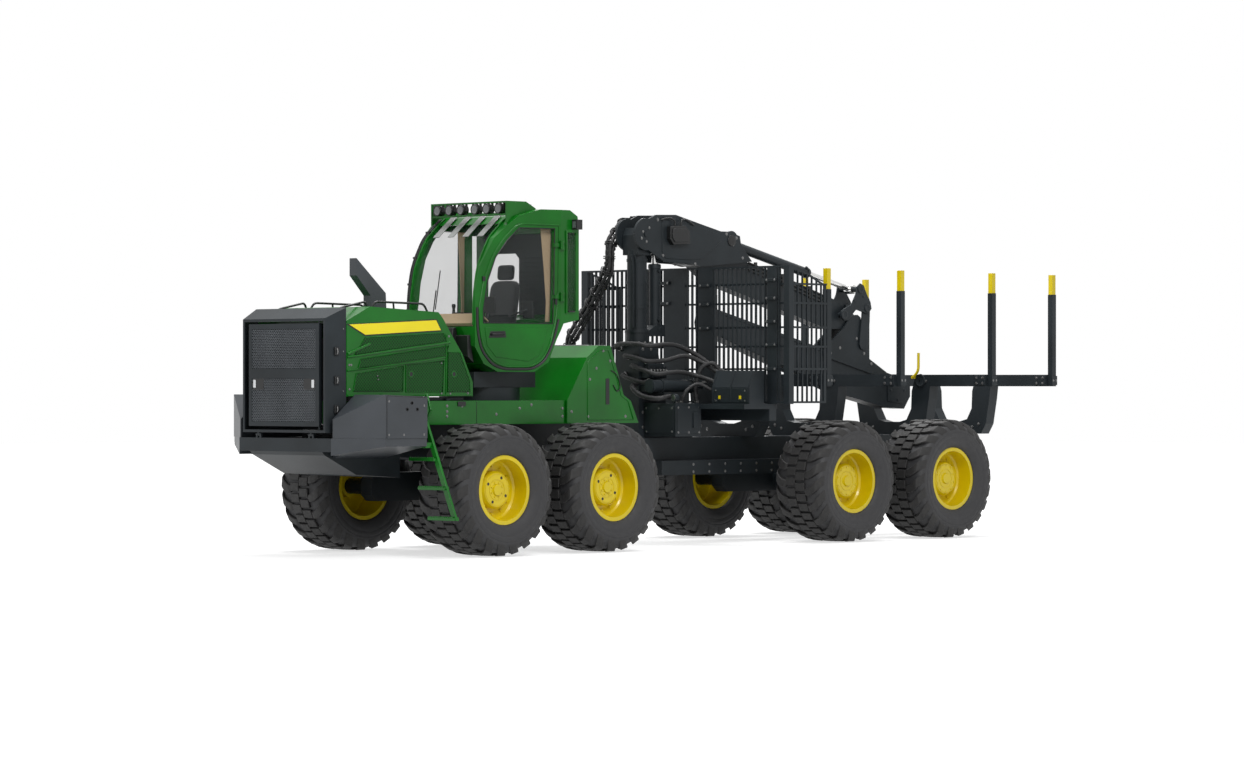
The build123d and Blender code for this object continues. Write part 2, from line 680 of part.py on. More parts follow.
# Steering joint

def mid_joint():
    """Cross piece: a vertical steering pin and the roll bearing behind it."""
    z0, z1 = HINGE_Z - YOKE_HALF_H, HINGE_Z + YOKE_HALF_H
    hub = rod((HINGE_X, 0, z0 + MOVE_GAP), (HINGE_X, 0, z1 - MOVE_GAP), HINGE_R)
    pin = rod((HINGE_X, 0, z0 - YOKE_T), (HINGE_X, 0, z1 + YOKE_T), STEER_PIN_TURN)
    barrel = rod((HINGE_X, 0, HINGE_Z), (ROLL_X, 0, HINGE_Z), ROLL_R)
    trunnion = rod((ROLL_X + 5, 0, HINGE_Z), (ROLL_X - MOVE_GAP - TRUNNION_L, 0, HINGE_Z), TRUNNION_R)
    arm = plan([(STEER_EYE[0] - 45, STEER_EYE[1] + 45), (STEER_EYE[0] + 45, STEER_EYE[1] + 45),
                (STEER_EYE[0] + 45, -STEER_EYE[1] - 45), (STEER_EYE[0] - 45, -STEER_EYE[1] - 45)],
               HINGE_Z + 62, HINGE_Z + 87)
    lower = arm.moved(Location((0, 0, -149)))
    return fuse([hub, pin, barrel, trunnion, arm, lower])


def steer_pair(side):
    """Steering cylinder of one side, level, from the front frame to the cross piece."""
    foot = Vector(STEER_FOOT[0], side * STEER_FOOT[1], HINGE_Z)
    eye = Vector(STEER_EYE[0], side * STEER_EYE[1], HINGE_Z)
    line = (eye - foot).normalized()
    length = (eye - foot).length

    def at(d):
        p = foot + line * d
        return (p.X, p.Y, p.Z)

    def boss(p, r, half):
        return rod((p[0], p[1], HINGE_Z - half), (p[0], p[1], HINGE_Z + half), r)

    body = fuse([rod(at(30), at(700), 48), boss(at(0), 45, 45)])
    bore = rod(at(60), at(701), 28 + RUN_GAP)
    barrel = body - bore - boss(at(0), STEER_PIN_R + RUN_GAP, 60)
    piston = fuse([rod(at(330), at(length - 20), 28), boss(at(length), 42, 50)])
    return barrel, piston


# Rear frame

def rear_frame():
    """Dark rear frame: main beam, crane pedestal, platform and boxes."""
    x1 = ROLL_X - MOVE_GAP
    beam = block(BEAM_X0, x1, -BEAM_Y, BEAM_Y, BEAM_Z0, BUNK_BASE_Z)
    lower = block(-1900, 250, -430, 430, 840, BEAM_Z0 + 5)
    pedestal = slab([(-60, BUNK_BASE_Z - 5), (x1, BUNK_BASE_Z - 5), (x1, 1700), (COLUMN_X + 170, 2300),
                     (COLUMN_X + 170, COLUMN_Z0), (COLUMN_X - 170, COLUMN_Z0), (COLUMN_X - 170, 2300),
                     (-60, 1700)],
                    -200, 200)
    control = block(-110, 330, 199, 740, BUNK_BASE_Z + 20, 1710)
    shelf = block(-640, -60, -1500, 1500, 1640, SHELF_Z1)
    valve = slab([(-405, SHELF_Z1 - 1), (-150, SHELF_Z1 - 1), (-150, 1900), (-230, 2100), (-405, 2100)],
                 880, 1500)
    slew = [block(90, 390, -390, 390, SLEW_Z - 65, SLEW_Z + 65),
            block(200, 380, -640, -380, SLEW_Z - 65, SLEW_Z + 150)]
    for side in (-1, 1):
        y = side * SLEW_Y
        slew.append(rod((490, y, SLEW_Z), (-230, y, SLEW_Z), SLEW_R))
        slew.append(rod((-225, y, SLEW_Z), (-440, y, SLEW_Z), 30))
        slew.append(rod((-470, y, SLEW_Z - 38), (-470, y, SLEW_Z + 38), 48))
    cross = block(-620, -500, -1500, 1500, 1500, 1645)
    link = block(-520, -59, -200, 200, BUNK_BASE_Z - 5, 1645)
    whole = fuse([beam, lower, pedestal, control, shelf, valve, cross, link] + slew)
    return whole - rod((x1 - TRUNNION_L - 1, 0, HINGE_Z), (x1 + 1, 0, HINGE_Z), TRUNNION_R + RUN_GAP)


def column():
    """Crane column with its collar and the fork for the boom pivot."""
    collar = rod((COLUMN_X, 0, COLUMN_Z0), (COLUMN_X, 0, COLLAR_Z1), COLLAR_R)
    shaft = rod((COLUMN_X, 0, COLLAR_Z1 - 5), (COLUMN_X, 0, COLUMN_Z1), COLUMN_R)
    half = HEAD_HALF_W - HEAD_PLATE_T - MOVE_GAP
    head = slab([(COLUMN_X - 110, COLUMN_Z1 - 60), (COLUMN_X + 110, COLUMN_Z1 - 60), (COLUMN_X + 110, 3740),
                 (BOOM_PIVOT[0] + 60, 3830), (BOOM_PIVOT[0] - 60, 3830), (COLUMN_X - 110, 3740)], -half, half)
    pin = pin_y(BOOM_PIVOT[0], BOOM_PIVOT[1], -HEAD_HALF_W - 12, HEAD_HALF_W + 12, PIN_R)
    foot = slab([(COLUMN_X - 60, 2520), (LIFT_FOOT[0] - 70, 2520), (LIFT_FOOT[0] - 70, 2660),
                 (LIFT_FOOT[0] + 70, 2660),
                 (COLUMN_X - 60, 2570)], -110, 110)
    foot = foot - block(LIFT_FOOT[0] - 90, LIFT_FOOT[0] + 80, -76, 76, 2500, 2700)
    fpin = pin_y(LIFT_FOOT[0], LIFT_FOOT[1], -112, 112, PIN_R)
    boss = pin_y(BOOM_PIVOT[0], BOOM_PIVOT[1], HOSE_BRACKET_Y, -HEAD_HALF_W - 10, 45)
    bracket = block(HOSE_X0 - 70, 300, HOSE_BRACKET_Y, HOSE_BRACKET_Y + 12, 3700, 3960)
    manifold = block(HOSE_X0 - 70, HOSE_X0, HOSE_BRACKET_Y - 145, HOSE_BRACKET_Y + 12, 3820, 3990)
    return fuse([collar, shaft, head, pin, foot, fpin, boss, bracket, manifold])


HOSE_STEPS = [
    # offset across, offset up the bundle
    (0, 0), (1, 0), (0, 1), (1, 1), (2, 0),
]


def crane_hoses():
    """Hose bundle from the column's head, round the outside and down to the slewing valve."""
    valve_y = -640 - SEAT_GAP
    hoses = []
    for across, up in HOSE_STEPS:
        dx, dy, dz = up * HOSE_PITCH, -across * HOSE_PITCH, (across + up) * HOSE_PITCH
        y = HOSE_BRACKET_Y - HOSE_R - 8 + dy
        route = [(HOSE_X0 + SEAT_GAP, y, 3850 + dz), (175 + dx, y, 3850 + dz), (425 + dx, y, 3600 + dz),
                 (435 + dx, y, 3290 + dz), (400 + dx, -640 + dy, 2780 + dz),
                 (350 + dx, -1000 + dy, 2430 + dz),
                 (320 + dx, -1060 + dy, 2150 + dz), (270 + dx, -960 + dy, 1900 + dz),
                 (270 + dx, valve_y, 1900 + dz)]
        path = FilletPolyline(*[Vector(p) for p in route], radius=HOSE_BEND)
        section = Plane(origin=path @ 0, z_dir=path % 0) * Circle(HOSE_R)
        hoses.append(sweep(section, path=path))
    return hoses


def cylinder_pair(foot, eye, barrel_r, rod_r, stroke_in, rod_start, eye_w, foot_w):
    """A closed hydraulic cylinder in the plane y = 0: barrel from foot, rod to eye."""
    fx, fz = foot
    ex, ez = eye
    length = hypot(ex - fx, ez - fz)
    ux, uz = (ex - fx) / length, (ez - fz) / length

    def at(d):
        return (fx + ux * d, 0, fz + uz * d)

    body = rod(at(40), at(length * stroke_in), barrel_r)
    bore = rod(at(110), at(length * stroke_in + 1), rod_r + RUN_GAP)
    lug = pin_y(fx, fz, -foot_w, foot_w, 62)
    barrel = (body.fuse(lug) - bore) - pin_y(fx, fz, -foot_w - 5, foot_w + 5, PIN_R + RUN_GAP)
    tube = rod(at(rod_start), at(length - 30), rod_r)
    head = pin_y(ex, ez, -eye_w, eye_w, 58)
    return barrel, tube.fuse(head)


def boom():
    """Lift boom: two head plates, then a box section down to the knuckle."""
    plate = [(450, 3750), (340, 3880), (80, 3990), (-260, 4000), (-700, 3900), (-1060, 3820), (-1200, 3820),
             (-1400, 3770), (-1420, 3670), (-1620, 3460), (-1330, 3430), (-700, 3380), (-530, 3410),
             (-70, 3420),
             (340, 3620)]
    pieces = []
    for side in (-1, 1):
        y0, y1 = sorted((side * HEAD_HALF_W, side * (HEAD_HALF_W - HEAD_PLATE_T)))
        pieces.append(slab(plate, y0, y1))
        pieces.append(pin_y(BOOM_PIVOT[0], BOOM_PIVOT[1], y0, y1, BOOM_HEAD_R))
        pieces.append(pin_y(JIB_CYL_FOOT[0], JIB_CYL_FOOT[1], y0, y1, BOOM_HEAD_R * 0.62))
    tube = [(-430, 3900), (-1060, 3800), (-1620, 3450), (-3250, 3010), (-3560, 2840), (-3690, 2800),
            (-3700, 2660),
            (-3560, 2640), (-3100, 2640), (-1000, 3190), (-700, 3385), (-430, 3420)]
    box_ = slab(tube, -BOOM_HALF_W, BOOM_HALF_W)
    box_ = box_ - block(-1500, -1000, -66, 66, 3600, 3900)
    pieces.append(box_)
    pieces.append(slab([(-440, 3900), (-560, 3880), (-560, 3420), (-440, 3420)], -HEAD_HALF_W + 5,
                       HEAD_HALF_W - 5))
    for side in (-1, 1):
        pieces.append(pin_y(LIFT_EYE[0], LIFT_EYE[1], side * (EYE_HALF_W + EYE_GAP), side * HEAD_HALF_W,
                            PIN_R))
    pieces.append(pin_y(JIB_CYL_FOOT[0], JIB_CYL_FOOT[1], -HEAD_HALF_W, HEAD_HALF_W, PIN_R))
    pieces.append(pin_y(JIB_PIVOT[0], JIB_PIVOT[1], -JIB_HALF_W - JIB_PLATE_T, JIB_HALF_W + JIB_PLATE_T,
                        PIN_R))
    pieces.append(pin_y(ROCKER_PIVOT[0], ROCKER_PIVOT[1], -ROCKER_Y1, ROCKER_Y1, PIN_R))
    whole = fuse(pieces)
    return whole - pin_y(BOOM_PIVOT[0], BOOM_PIVOT[1], -300, 300, PIN_R + RUN_GAP)


def jib():
    """Folded jib: a tube with knuckle plates on its root end."""
    tube = slab([(-1010, 2873), (-4300, 2070), (-4690, 1950), (-4690, 1780), (-4570, 1620), (-4200, 1640),
                 (-3400, 1800),
                 (-1010, 2551)], -JIB_HALF_W, JIB_HALF_W)
    tube = tube - slab([(-900, 2860), (-3300, 2275), (-3300, 2025), (-900, 2610)], -75, 75)
    pieces = [tube]
    knuckle = [(-3560, 2820), (-3640, 2825), (-3695, 2790), (-3725, 2640), (-3740, 2540), (-3800, 2390),
               (-3870, 2260),
               (-4200, 2090), (-4200, 2000), (-3000, 2290), (-3000, 2370), (-3400, 2680), (-3500, 2790)]
    for side in (-1, 1):
        y0, y1 = sorted((side * (JIB_HALF_W - 0.0), side * (JIB_HALF_W + JIB_PLATE_T)))
        pieces.append(slab(knuckle, y0, y1))
    whole = fuse(pieces)
    return whole - pin_y(JIB_PIVOT[0], JIB_PIVOT[1], -300, 300, PIN_R + RUN_GAP)


def jib_rocker():
    """Pair of three-point plates that turn the jib cylinder's push round the knuckle."""
    outline = [(-3270, 2790), (-3275, 2860), (-3330, 2895), (-3480, 2960), (-3560, 3090), (-3580, 3180),
               (-3640, 3225),
               (-3705, 3200), (-3765, 3085), (-3835, 2990), (-3855, 2905), (-3790, 2835), (-3560, 2890),
               (-3400, 2750),
               (-3330, 2745)]
    hole = pin_y(ROCKER_PIVOT[0], ROCKER_PIVOT[1], -300, 300, PIN_R + RUN_GAP)
    plates = []
    for side in (-1, 1):
        y0, y1 = sorted((side * ROCKER_Y0, side * ROCKER_Y1))
        link_pin = pin_y(LINK_TOP[0], LINK_TOP[1], side * LINK_Y0, side * ROCKER_Y1, PIN_R)
        eye_pin = pin_y(JIB_CYL_EYE[0], JIB_CYL_EYE[1], side * (EYE_HALF_W + EYE_GAP), side * ROCKER_Y1,
                        PIN_R)
        plates.append(fuse([slab(outline, y0, y1), link_pin, eye_pin]) - hole)
    return plates


def jib_link():
    """Pair of curved links from the rocker down to the jib's root."""
    outline = [(-3710, 2960), (-3790, 2975), (-3850, 2905), (-3845, 2740), (-3825, 2580), (-3815, 2440),
               (-3760, 2375),
               (-3690, 2380), (-3650, 2440), (-3665, 2600), (-3700, 2800)]
    hole = pin_y(LINK_TOP[0], LINK_TOP[1], -300, 300, PIN_R + RUN_GAP)
    out = []
    for side in (-1, 1):
        y0, y1 = sorted((side * LINK_Y0, side * LINK_Y1))
        out.append(slab(outline, y0, y1) - hole)
    return out


def extension():
    """Sliding inner tube of the jib with the tip fork."""
    tube = slab([(-960, 2838), (-3200, 2292), (-3200, 2060), (-960, 2609)], -70, 70)
    fork = slab([(-960, 2850), (-900, 2850), (-855, 2700), (TIP_PIN[0] + 50, TIP_PIN[1] - 60),
                 (TIP_PIN[0] - 50, TIP_PIN[1] - 60), (-960, 2630)], -90, 90)
    fork = fork - block(TIP_PIN[0] - 80, TIP_PIN[0] + 100, -45, 45, 2400, 2720)
    pin = pin_y(TIP_PIN[0], TIP_PIN[1], -92, 92, TIP_PIN_R)
    pad = slab([(-3190, 2301.5), (-3090, 2325.9), (-3090, 2076.5), (-3190, 2052.1)], -75 + SEAT_GAP,
               75 - SEAT_GAP)
    return fuse([tube, fork, pin, pad])


def tip_link():
    """Hanging link below the jib tip that carries the grapple's rotator."""
    x, z = TIP_PIN
    upper = fuse([block(x - 40, x + 40, -40, 40, z - 200, z), pin_y(x, z, -40, 40, 45)])
    eye_z = z - LINK_EYE_DROP
    eye = rod((x - LINK_EYE_HALF, 0, eye_z), (x + LINK_EYE_HALF, 0, eye_z), LINK_EYE_R)
    neck = block(x - LINK_EYE_HALF, x + LINK_EYE_HALF, -40, 40, eye_z, z - 195)
    bore = rod((x - LINK_EYE_HALF - 1, 0, eye_z), (x + LINK_EYE_HALF + 1, 0, eye_z), LINK_BORE_R)
    return fuse([upper, neck, eye]) - pin_y(x, z, -60, 60, TIP_PIN_R + RUN_GAP) - bore


# Load space

GATE_POSTS = [
    # centre y, width
    (-150, 360),
    (385, 250),
    (GATE_HALF - 280, 160),
    (GATE_HALF - 45, 90),
    (-GATE_HALF + 55, 110),
]
GATE_STRIPS = [2120.0, 2390.0, 2620.0, 2910.0, 3140.0]


def gate():
    """Headboard of upright bars between two rails, with cross strips behind and two side wings."""
    top = GATE_Z1 - 40
    rail = 24
    bars_x0, bars_x1 = GATE_X - BAR_D / 2, GATE_X + BAR_D / 2
    strip_x1 = bars_x0 - SEAT_GAP
    frame = [block(bars_x0 - 20, bars_x1, -GATE_HALF, GATE_HALF, z - rail, z) for z in (GATE_Z0 + rail, top)]
    for y, width in GATE_POSTS:
        frame.append(block(bars_x0 - 50, bars_x1, y - width / 2, y + width / 2, SHELF_Z1 + SEAT_GAP, top))
    for z in GATE_STRIPS:
        frame.append(block(strip_x1 - 12, strip_x1, -GATE_HALF, GATE_HALF, z - 12, z + 12))
    count = int((GATE_HALF * 2 - 200) / BAR_PITCH)
    for i in range(count):
        y = (i - (count - 1) / 2) * BAR_PITCH
        if all(abs(y - post) > (width + BAR_W) / 2 for post, width in GATE_POSTS):
            frame.append(block(bars_x0, bars_x1, y - BAR_W / 2, y + BAR_W / 2, GATE_Z0 + rail - 1,
                               top - rail + 1))
    for side in (-1, 1):
        frame.append(wing(side, top, rail))
    return fuse(frame)


def wing(side, top, rail):
    """Side wing of the headboard: a sloped rail over upright bars, with cross strips outside."""
    y_bar = side * (GATE_HALF - 30)
    y_strip = side * (GATE_HALF - 30 + BAR_W / 2 + SEAT_GAP)
    x1, x0 = GATE_X, GATE_X - WING_LEN
    end_top = top - WING_DROP

    def across(y, half, xa, xb, z0, z1):
        return block(xa, xb, y - half, y + half, z0, z1)

    ya, yb = y_bar - BAR_W / 2, y_bar + BAR_W / 2
    parts = [across(y_bar, BAR_W / 2, x0, x1, GATE_Z0, GATE_Z0 + rail)]
    parts.append(slab([(x1, top), (x1 - WING_LEN * 0.5, top - WING_DROP * 0.35), (x0, end_top),
                       (x0, end_top - rail),
                       (x1 - WING_LEN * 0.5, top - WING_DROP * 0.35 - rail), (x1, top - rail)], ya, yb))
    parts.append(across(y_bar, BAR_W / 2, x0, x0 + 40, GATE_Z0, end_top))
    count = int(WING_LEN / BAR_PITCH) - 1
    for i in range(count):
        x = x1 - (i + 1) * WING_LEN / (count + 1)
        share = (x1 - x) / WING_LEN
        drop = WING_DROP * (0.7 * share if share < 0.5 else 0.35 + 1.3 * (share - 0.5))
        parts.append(across(y_bar, BAR_W / 2, x - BAR_W / 2, x + BAR_W / 2, GATE_Z0 + rail - 1,
                            top - drop - rail / 2))
    strips = []
    for z in GATE_STRIPS:
        y0, y1 = sorted((y_strip, y_strip + side * 12))
        strips.append(block(x0, x1 - BAR_D / 2 + 1, y0, y1, z - 12, z + 12))
        joint_y0, joint_y1 = sorted((y_bar, y_strip + side * 12))
        strips.append(block(x0 + 2, x0 + 38, joint_y0, joint_y1, z - 10, z + 10))
    return fuse(parts + strips)


def bunk(x):
    """One bunk: a bar across the beam with a cranked leg and arm on each end."""
    foot_y = BEAM_Y - 20
    stake_in = STAKE_Y - STAKE_A / 2
    bar = [(-foot_y + SEAT_GAP, BUNK_BASE_Z), (foot_y - SEAT_GAP, BUNK_BASE_Z), (foot_y - SEAT_GAP, 1480),
           (120, 1450),
           (-120, 1450), (-foot_y + SEAT_GAP, 1480)]
    leg = [(foot_y, BUNK_BASE_Z), (480, BUNK_BASE_Z), (560, 1420), (620, 1750), (640, ARM_Z0),
           (stake_in, ARM_Z0),
           (stake_in, ARM_Z1), (400, ARM_Z1), (330, ARM_Z0 - 60), (320, 1620), (foot_y, 1480)]
    arm = frame_slab(leg, x - BUNK_T / 2, x + BUNK_T / 2)
    return [frame_slab(bar, x - BUNK_T / 2, x + BUNK_T / 2), arm, mirrored(arm)]


def bunks():
    return [piece for x in BUNK_XS for piece in bunk(x)]


def stakes():
    out = []
    for x in BUNK_XS:
        for side in (-1, 1):
            y = side * STAKE_Y
            out.append(block(x - STAKE_A / 2, x + STAKE_A / 2, y - STAKE_A / 2, y + STAKE_A / 2, ARM_Z0,
                             STAKE_Z1))
    return out


def stake_tips():
    out = []
    for x in BUNK_XS:
        for side in (-1, 1):
            y = side * STAKE_Y
            out.append(block(x - TIP_A / 2, x + TIP_A / 2, y - TIP_A / 2, y + TIP_A / 2, STAKE_Z1, STAKE_TOP))
    return out


def fixed_on_frames():
    """Every node above the axles, by name."""
    nodes = {
        "front_frame": front_frame(), "front_chassis": front_chassis(),
        "side_boxes": [side_box(1), side_box(-1), side_skirt(1), side_skirt(-1)],
        "rear_tank": rear_tank(), "ladder": ladder(), "hood": hood(), "cowl": cowl(),
        "grille_door": grille_door(),
        "exhaust_stack": exhaust(), "cab_base": cab_base(), "cab_shell": cab_shell(),
        "cab_glass": cab_glass(),
        "cab_door": cab_door(), "door_glass": door_glass(), "seat": seat(),
        "cab_console": [seat_base(), dash()],
        "lamp_rack": lamp_rack(), "work_lamps": work_lamps(), "crane_hoses": crane_hoses(),
        "mid_joint": mid_joint(), "rear_frame": rear_frame(), "column": column(),
        "boom": boom(), "jib": jib(), "jib_rocker": jib_rocker(), "jib_link": jib_link(),
        "extension": extension(),
        "tip_link": tip_link(), "gate": gate(), "bunks": bunks(), "stakes": stakes(),
        "stake_tips": stake_tips(),
    }
    nodes["engine"] = block(4100, 5250, -380, 380, RAIL_Z1 + SEAT_GAP, 2450)
    nodes["cab_ring"] = rod((CAB_X, 0, RAIL_Z1), (CAB_X, 0, RAIL_Z1 + RING_H - SEAT_GAP), RING_R + 40)
    pairs = [
        # name, name of the rod's node, barrel and rod
        ("lift_barrel", "lift_rod", cylinder_pair(LIFT_FOOT, LIFT_EYE, 70, 40, 0.82, 130, EYE_HALF_W, 60)),
        ("jib_barrel", "jib_rod", cylinder_pair(JIB_CYL_FOOT, JIB_CYL_EYE, 60, 35, 0.66, 690, EYE_HALF_W, 50)),
        ("steer_barrel_left", "steer_rod_left", steer_pair(1)),
        ("steer_barrel_right", "steer_rod_right", steer_pair(-1)),
    ]
    for barrel_name, rod_name, (barrel, piston) in pairs:
        nodes[barrel_name] = barrel
        nodes[rod_name] = piston
    return nodes


def build():
    """Write every node; taller tyres carry all that stands on the axles up with them."""
    os.makedirs("parts", exist_ok=True)
    drawn_tyre_r = 750.0
    lift = TYRE_R - drawn_tyre_r
    tyre_l = tyre()
    rim_l = rim()
    for name, cx, dx, side in WHEELS:
        place = Pos(cx + dx, side * TRACK_HALF, TYRE_R)
        turn = Rot(0, 0, 0 if side > 0 else 180)
        save("tyre_" + name, place * (turn * tyre_l))
        save("rim_" + name, place * (turn * rim_l))
    save("front_bogies", bogies(FRONT_BOGIE_X, FRONT_BOGIE_HALF, SPINE_BOTTOM + lift))
    save("rear_bogies", bogies(REAR_BOGIE_X, REAR_BOGIE_HALF, BEAM_Z0 + lift))
    for name, shape in fixed_on_frames().items():
        save(name, raised(shape, lift))


build()
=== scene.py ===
import math

import bpy
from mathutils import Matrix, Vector


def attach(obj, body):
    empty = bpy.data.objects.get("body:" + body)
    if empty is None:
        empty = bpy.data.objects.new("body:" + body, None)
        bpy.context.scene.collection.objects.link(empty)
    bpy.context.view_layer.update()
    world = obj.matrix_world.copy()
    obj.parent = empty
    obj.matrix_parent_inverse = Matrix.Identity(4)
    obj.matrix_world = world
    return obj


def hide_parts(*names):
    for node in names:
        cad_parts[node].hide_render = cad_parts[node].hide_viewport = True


# Forestry forwarder: finishes, tyres, grilles, hoses, seat and small fittings round the fixed frame.
# Metres. +X forward, +Y to the machine's left, +Z up, ground at z = 0.

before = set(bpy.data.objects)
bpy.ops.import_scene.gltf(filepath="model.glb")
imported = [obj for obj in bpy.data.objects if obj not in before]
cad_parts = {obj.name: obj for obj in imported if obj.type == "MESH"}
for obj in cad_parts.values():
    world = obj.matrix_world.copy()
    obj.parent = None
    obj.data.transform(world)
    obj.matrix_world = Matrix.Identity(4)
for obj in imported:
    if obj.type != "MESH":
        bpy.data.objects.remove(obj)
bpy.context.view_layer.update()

SIDES = ((-1, "right"), (1, "left"))
CORNERS = ((-1, -1), (1, -1), (1, 1), (-1, 1))
TYRE_R = 0.75
AXLE_Z = TYRE_R
CROWN_R = 0.716
LUG_TOP_DROP = 0.012
TRACK_HALF = 1.185
SHOULDER_LUGS = 22
BLOCK_ROWS = 36
RING_STEPS = 96
HOOD_Y = 0.78
TANK_Y = 0.79
RAIL_Y = 0.76
BOX_Y = 1.3
SKIN = 0.001

WHEELS = {
    # name: centre x, side
    "f1l": (3.86, 1), "f2l": (2.12, 1), "f1r": (3.86, -1), "f2r": (2.12, -1),
    "r1l": (-2.035, 1), "r2l": (-3.905, 1), "r1r": (-2.035, -1), "r2r": (-3.905, -1),
}


# Meshes

def quads(rows, columns, closed):
    """Faces between rows of points, each row a closed ring; closed joins the last row to the first."""
    return [(i * columns + j, i * columns + (j + 1) % columns, (i + 1) % rows * columns + (j + 1) % columns,
        (i + 1) % rows * columns + j) for i in range(rows if closed else rows - 1) for j in range(columns)]


class Shape:
    """Vertices and faces gathered from simple forms, then made into one piece."""

    def __init__(self):
        self.verts = []
        self.faces = []

    def add(self, verts, faces):
        start = len(self.verts)
        self.verts.extend(tuple(v) for v in verts)
        self.faces.extend(tuple(start + i for i in f) for f in faces)

    def box(self, x0, x1, y0, y1, z0, z1):
        x0, x1 = sorted((x0, x1))
        y0, y1 = sorted((y0, y1))
        z0, z1 = sorted((z0, z1))
        v = [(x, y, z) for x in (x0, x1) for y in (y0, y1) for z in (z0, z1)]
        self.add(v, [(0, 1, 3, 2), (4, 6, 7, 5), (0, 4, 5, 1), (2, 3, 7, 6), (0, 2, 6, 4), (1, 5, 7, 3)])

    def prism(self, outline, axis, a, b):
        """Closed outline in the plane across axis, carried from a to b."""
        def place(p, t):
            u, w = p
            return {"x": (t, u, w), "y": (u, t, w), "z": (u, w, t)}[axis]
        n = len(outline)
        area = sum(p[0] * q[1] - q[0] * p[1] for p, q in zip(outline, outline[1:] + outline[:1]))
        outward = (area > 0) ^ (axis == "y") ^ (b < a)
        faces = [tuple(reversed(range(n))), tuple(range(n, 2 * n))]
        faces += [(i, (i + 1) % n, n + (i + 1) % n, n + i) for i in range(n)]
        if not outward:
            faces = [tuple(reversed(f)) for f in faces]
        self.add([place(p, t) for t in (a, b) for p in outline], faces)

    def tube(self, points, r, sides=10, closed=False):
        """Round bar along a list of points, with mitred corners."""
        pts = [Vector(p) for p in points]
        n = len(pts)
        turns = [2 * math.pi * j / sides for j in range(sides)]
        up = None
        rings = []
        for i, p in enumerate(pts):
            before = pts[i - 1] if (i or closed) else None
            after = pts[(i + 1) % n] if (i < n - 1 or closed) else None
            d1 = (p - before).normalized() if before is not None else (after - p).normalized()
            d2 = (after - p).normalized() if after is not None else d1
            t = (d1 + d2).normalized()
            if up is None:
                up = Vector((0, 0, 1)) if abs(t.z) < 0.9 else Vector((1, 0, 0))
            side = t.cross(up).normalized()
            up = side.cross(t).normalized()
            widen = 1.0 / max(0.5, t.dot(d1))
            rings.append([p + (side * math.cos(k) * widen + up * math.sin(k)) * r for k in turns])
        faces = quads(n, sides, closed)
        if not closed:
            faces.append(tuple(reversed(range(sides))))
            faces.append(tuple((n - 1) * sides + j for j in range(sides)))
        self.add([q for ring in rings for q in ring], faces)

    def lathe(self, profile, centre, axis, steps=32):
        """Closed solid of revolution: profile of (distance along axis, radius)."""
        along = Vector(axis).normalized()
        side = along.orthogonal().normalized()
        other = along.cross(side)
        m = len(profile)
        v, faces = [], []
        for i in range(steps):
            turn = 2 * math.pi * i / steps
            out = side * math.cos(turn) + other * math.sin(turn)
            v.extend(Vector(centre) + along * s + out * r for s, r in profile)
            after = (i + 1) % steps * m
            faces.extend((i * m + j, after + j, after + j + 1, i * m + j + 1) for j in range(m - 1))
        faces.append(tuple(i * m for i in reversed(range(steps))))
        faces.append(tuple(i * m + m - 1 for i in range(steps)))
        self.add(v, faces)

    def bolt(self, p, axis, r=0.012, h=0.01):
        """Hexagon bolt head with a washer, sitting at p."""
        self.lathe([(-0.001, r * 1.5), (h * 0.25, r * 1.5)], p, axis, 12)
        self.lathe([(h * 0.2, r), (h * 0.9, r), (h, r * 0.85)], p, axis, 6)

    def piece(self, name, material, body, slot=None, smooth=True, bevel=0.0, angle=35.0):
        """One object that rides on a body; edges sharper than angle are bevelled or kept sharp."""
        mesh = bpy.data.meshes.new(name)
        mesh.from_pydata(self.verts, [], self.faces)
        mesh.validate()
        obj = bpy.data.objects.new(name, mesh)
        bpy.context.scene.collection.objects.link(obj)
        mesh.materials.append(material)
        if bevel:
            mod = obj.modifiers.new("edges", "BEVEL")
            mod.width = bevel
            mod.segments = 2
            mod.limit_method = "ANGLE"
            mod.angle_limit = math.radians(angle)
        if smooth:
            for poly in mesh.polygons:
                poly.use_smooth = True
            mesh.set_sharp_from_angle(angle=math.radians(angle))
        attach(obj, body)
        return obj


def rounded(points, radius, steps=4):
    """Polyline with its corners turned into short arcs."""
    pts = [Vector(p) for p in points]
    out = [pts[0]]
    for a, p, b in zip(pts, pts[1:], pts[2:]):
        d1, d2 = (a - p), (b - p)
        cut = min(radius, d1.length * 0.45, d2.length * 0.45)
        s, e = p + d1.normalized() * cut, p + d2.normalized() * cut
        for i in range(steps + 1):
            t = i / steps
            out.append(s * (1 - t) ** 2 + p * 2 * t * (1 - t) + e * t * t)
    out.append(pts[-1])
    return out


def smooth_path(points, steps=8):
    """Points of a Catmull-Rom curve through the given points."""
    pts = [Vector(p) for p in points]
    pts = [pts[0] * 2 - pts[1]] + pts + [pts[-1] * 2 - pts[-2]]
    out = []
    for a, b, c, d in zip(pts, pts[1:], pts[2:], pts[3:]):
        for i in range(steps):
            t = i / steps
            square, cube = 2 * a - 5 * b + 4 * c - d, 3 * b - a - 3 * c + d
            out.append(0.5 * ((2 * b) + (c - a) * t + square * t ** 2 + cube * t ** 3))
    out.append(pts[-2])
    return out


# Materials

def feed(tree, node, inputs):
    """Set a node's inputs, each to a number or colour, or to the output that is linked to it."""
    for key, value in inputs.items():
        if isinstance(value, bpy.types.NodeSocket):
            tree.links.new(value, node.inputs[key])
        else:
            node.inputs[key].default_value = value
    return node


def add_node(tree, kind, inputs):
    return feed(tree, tree.nodes.new("ShaderNode" + kind), inputs)


def maths(tree, operation, a, b):
    node = add_node(tree, "Math", {0: a, 1: b})
    node.operation = operation
    return node.outputs["Value"]


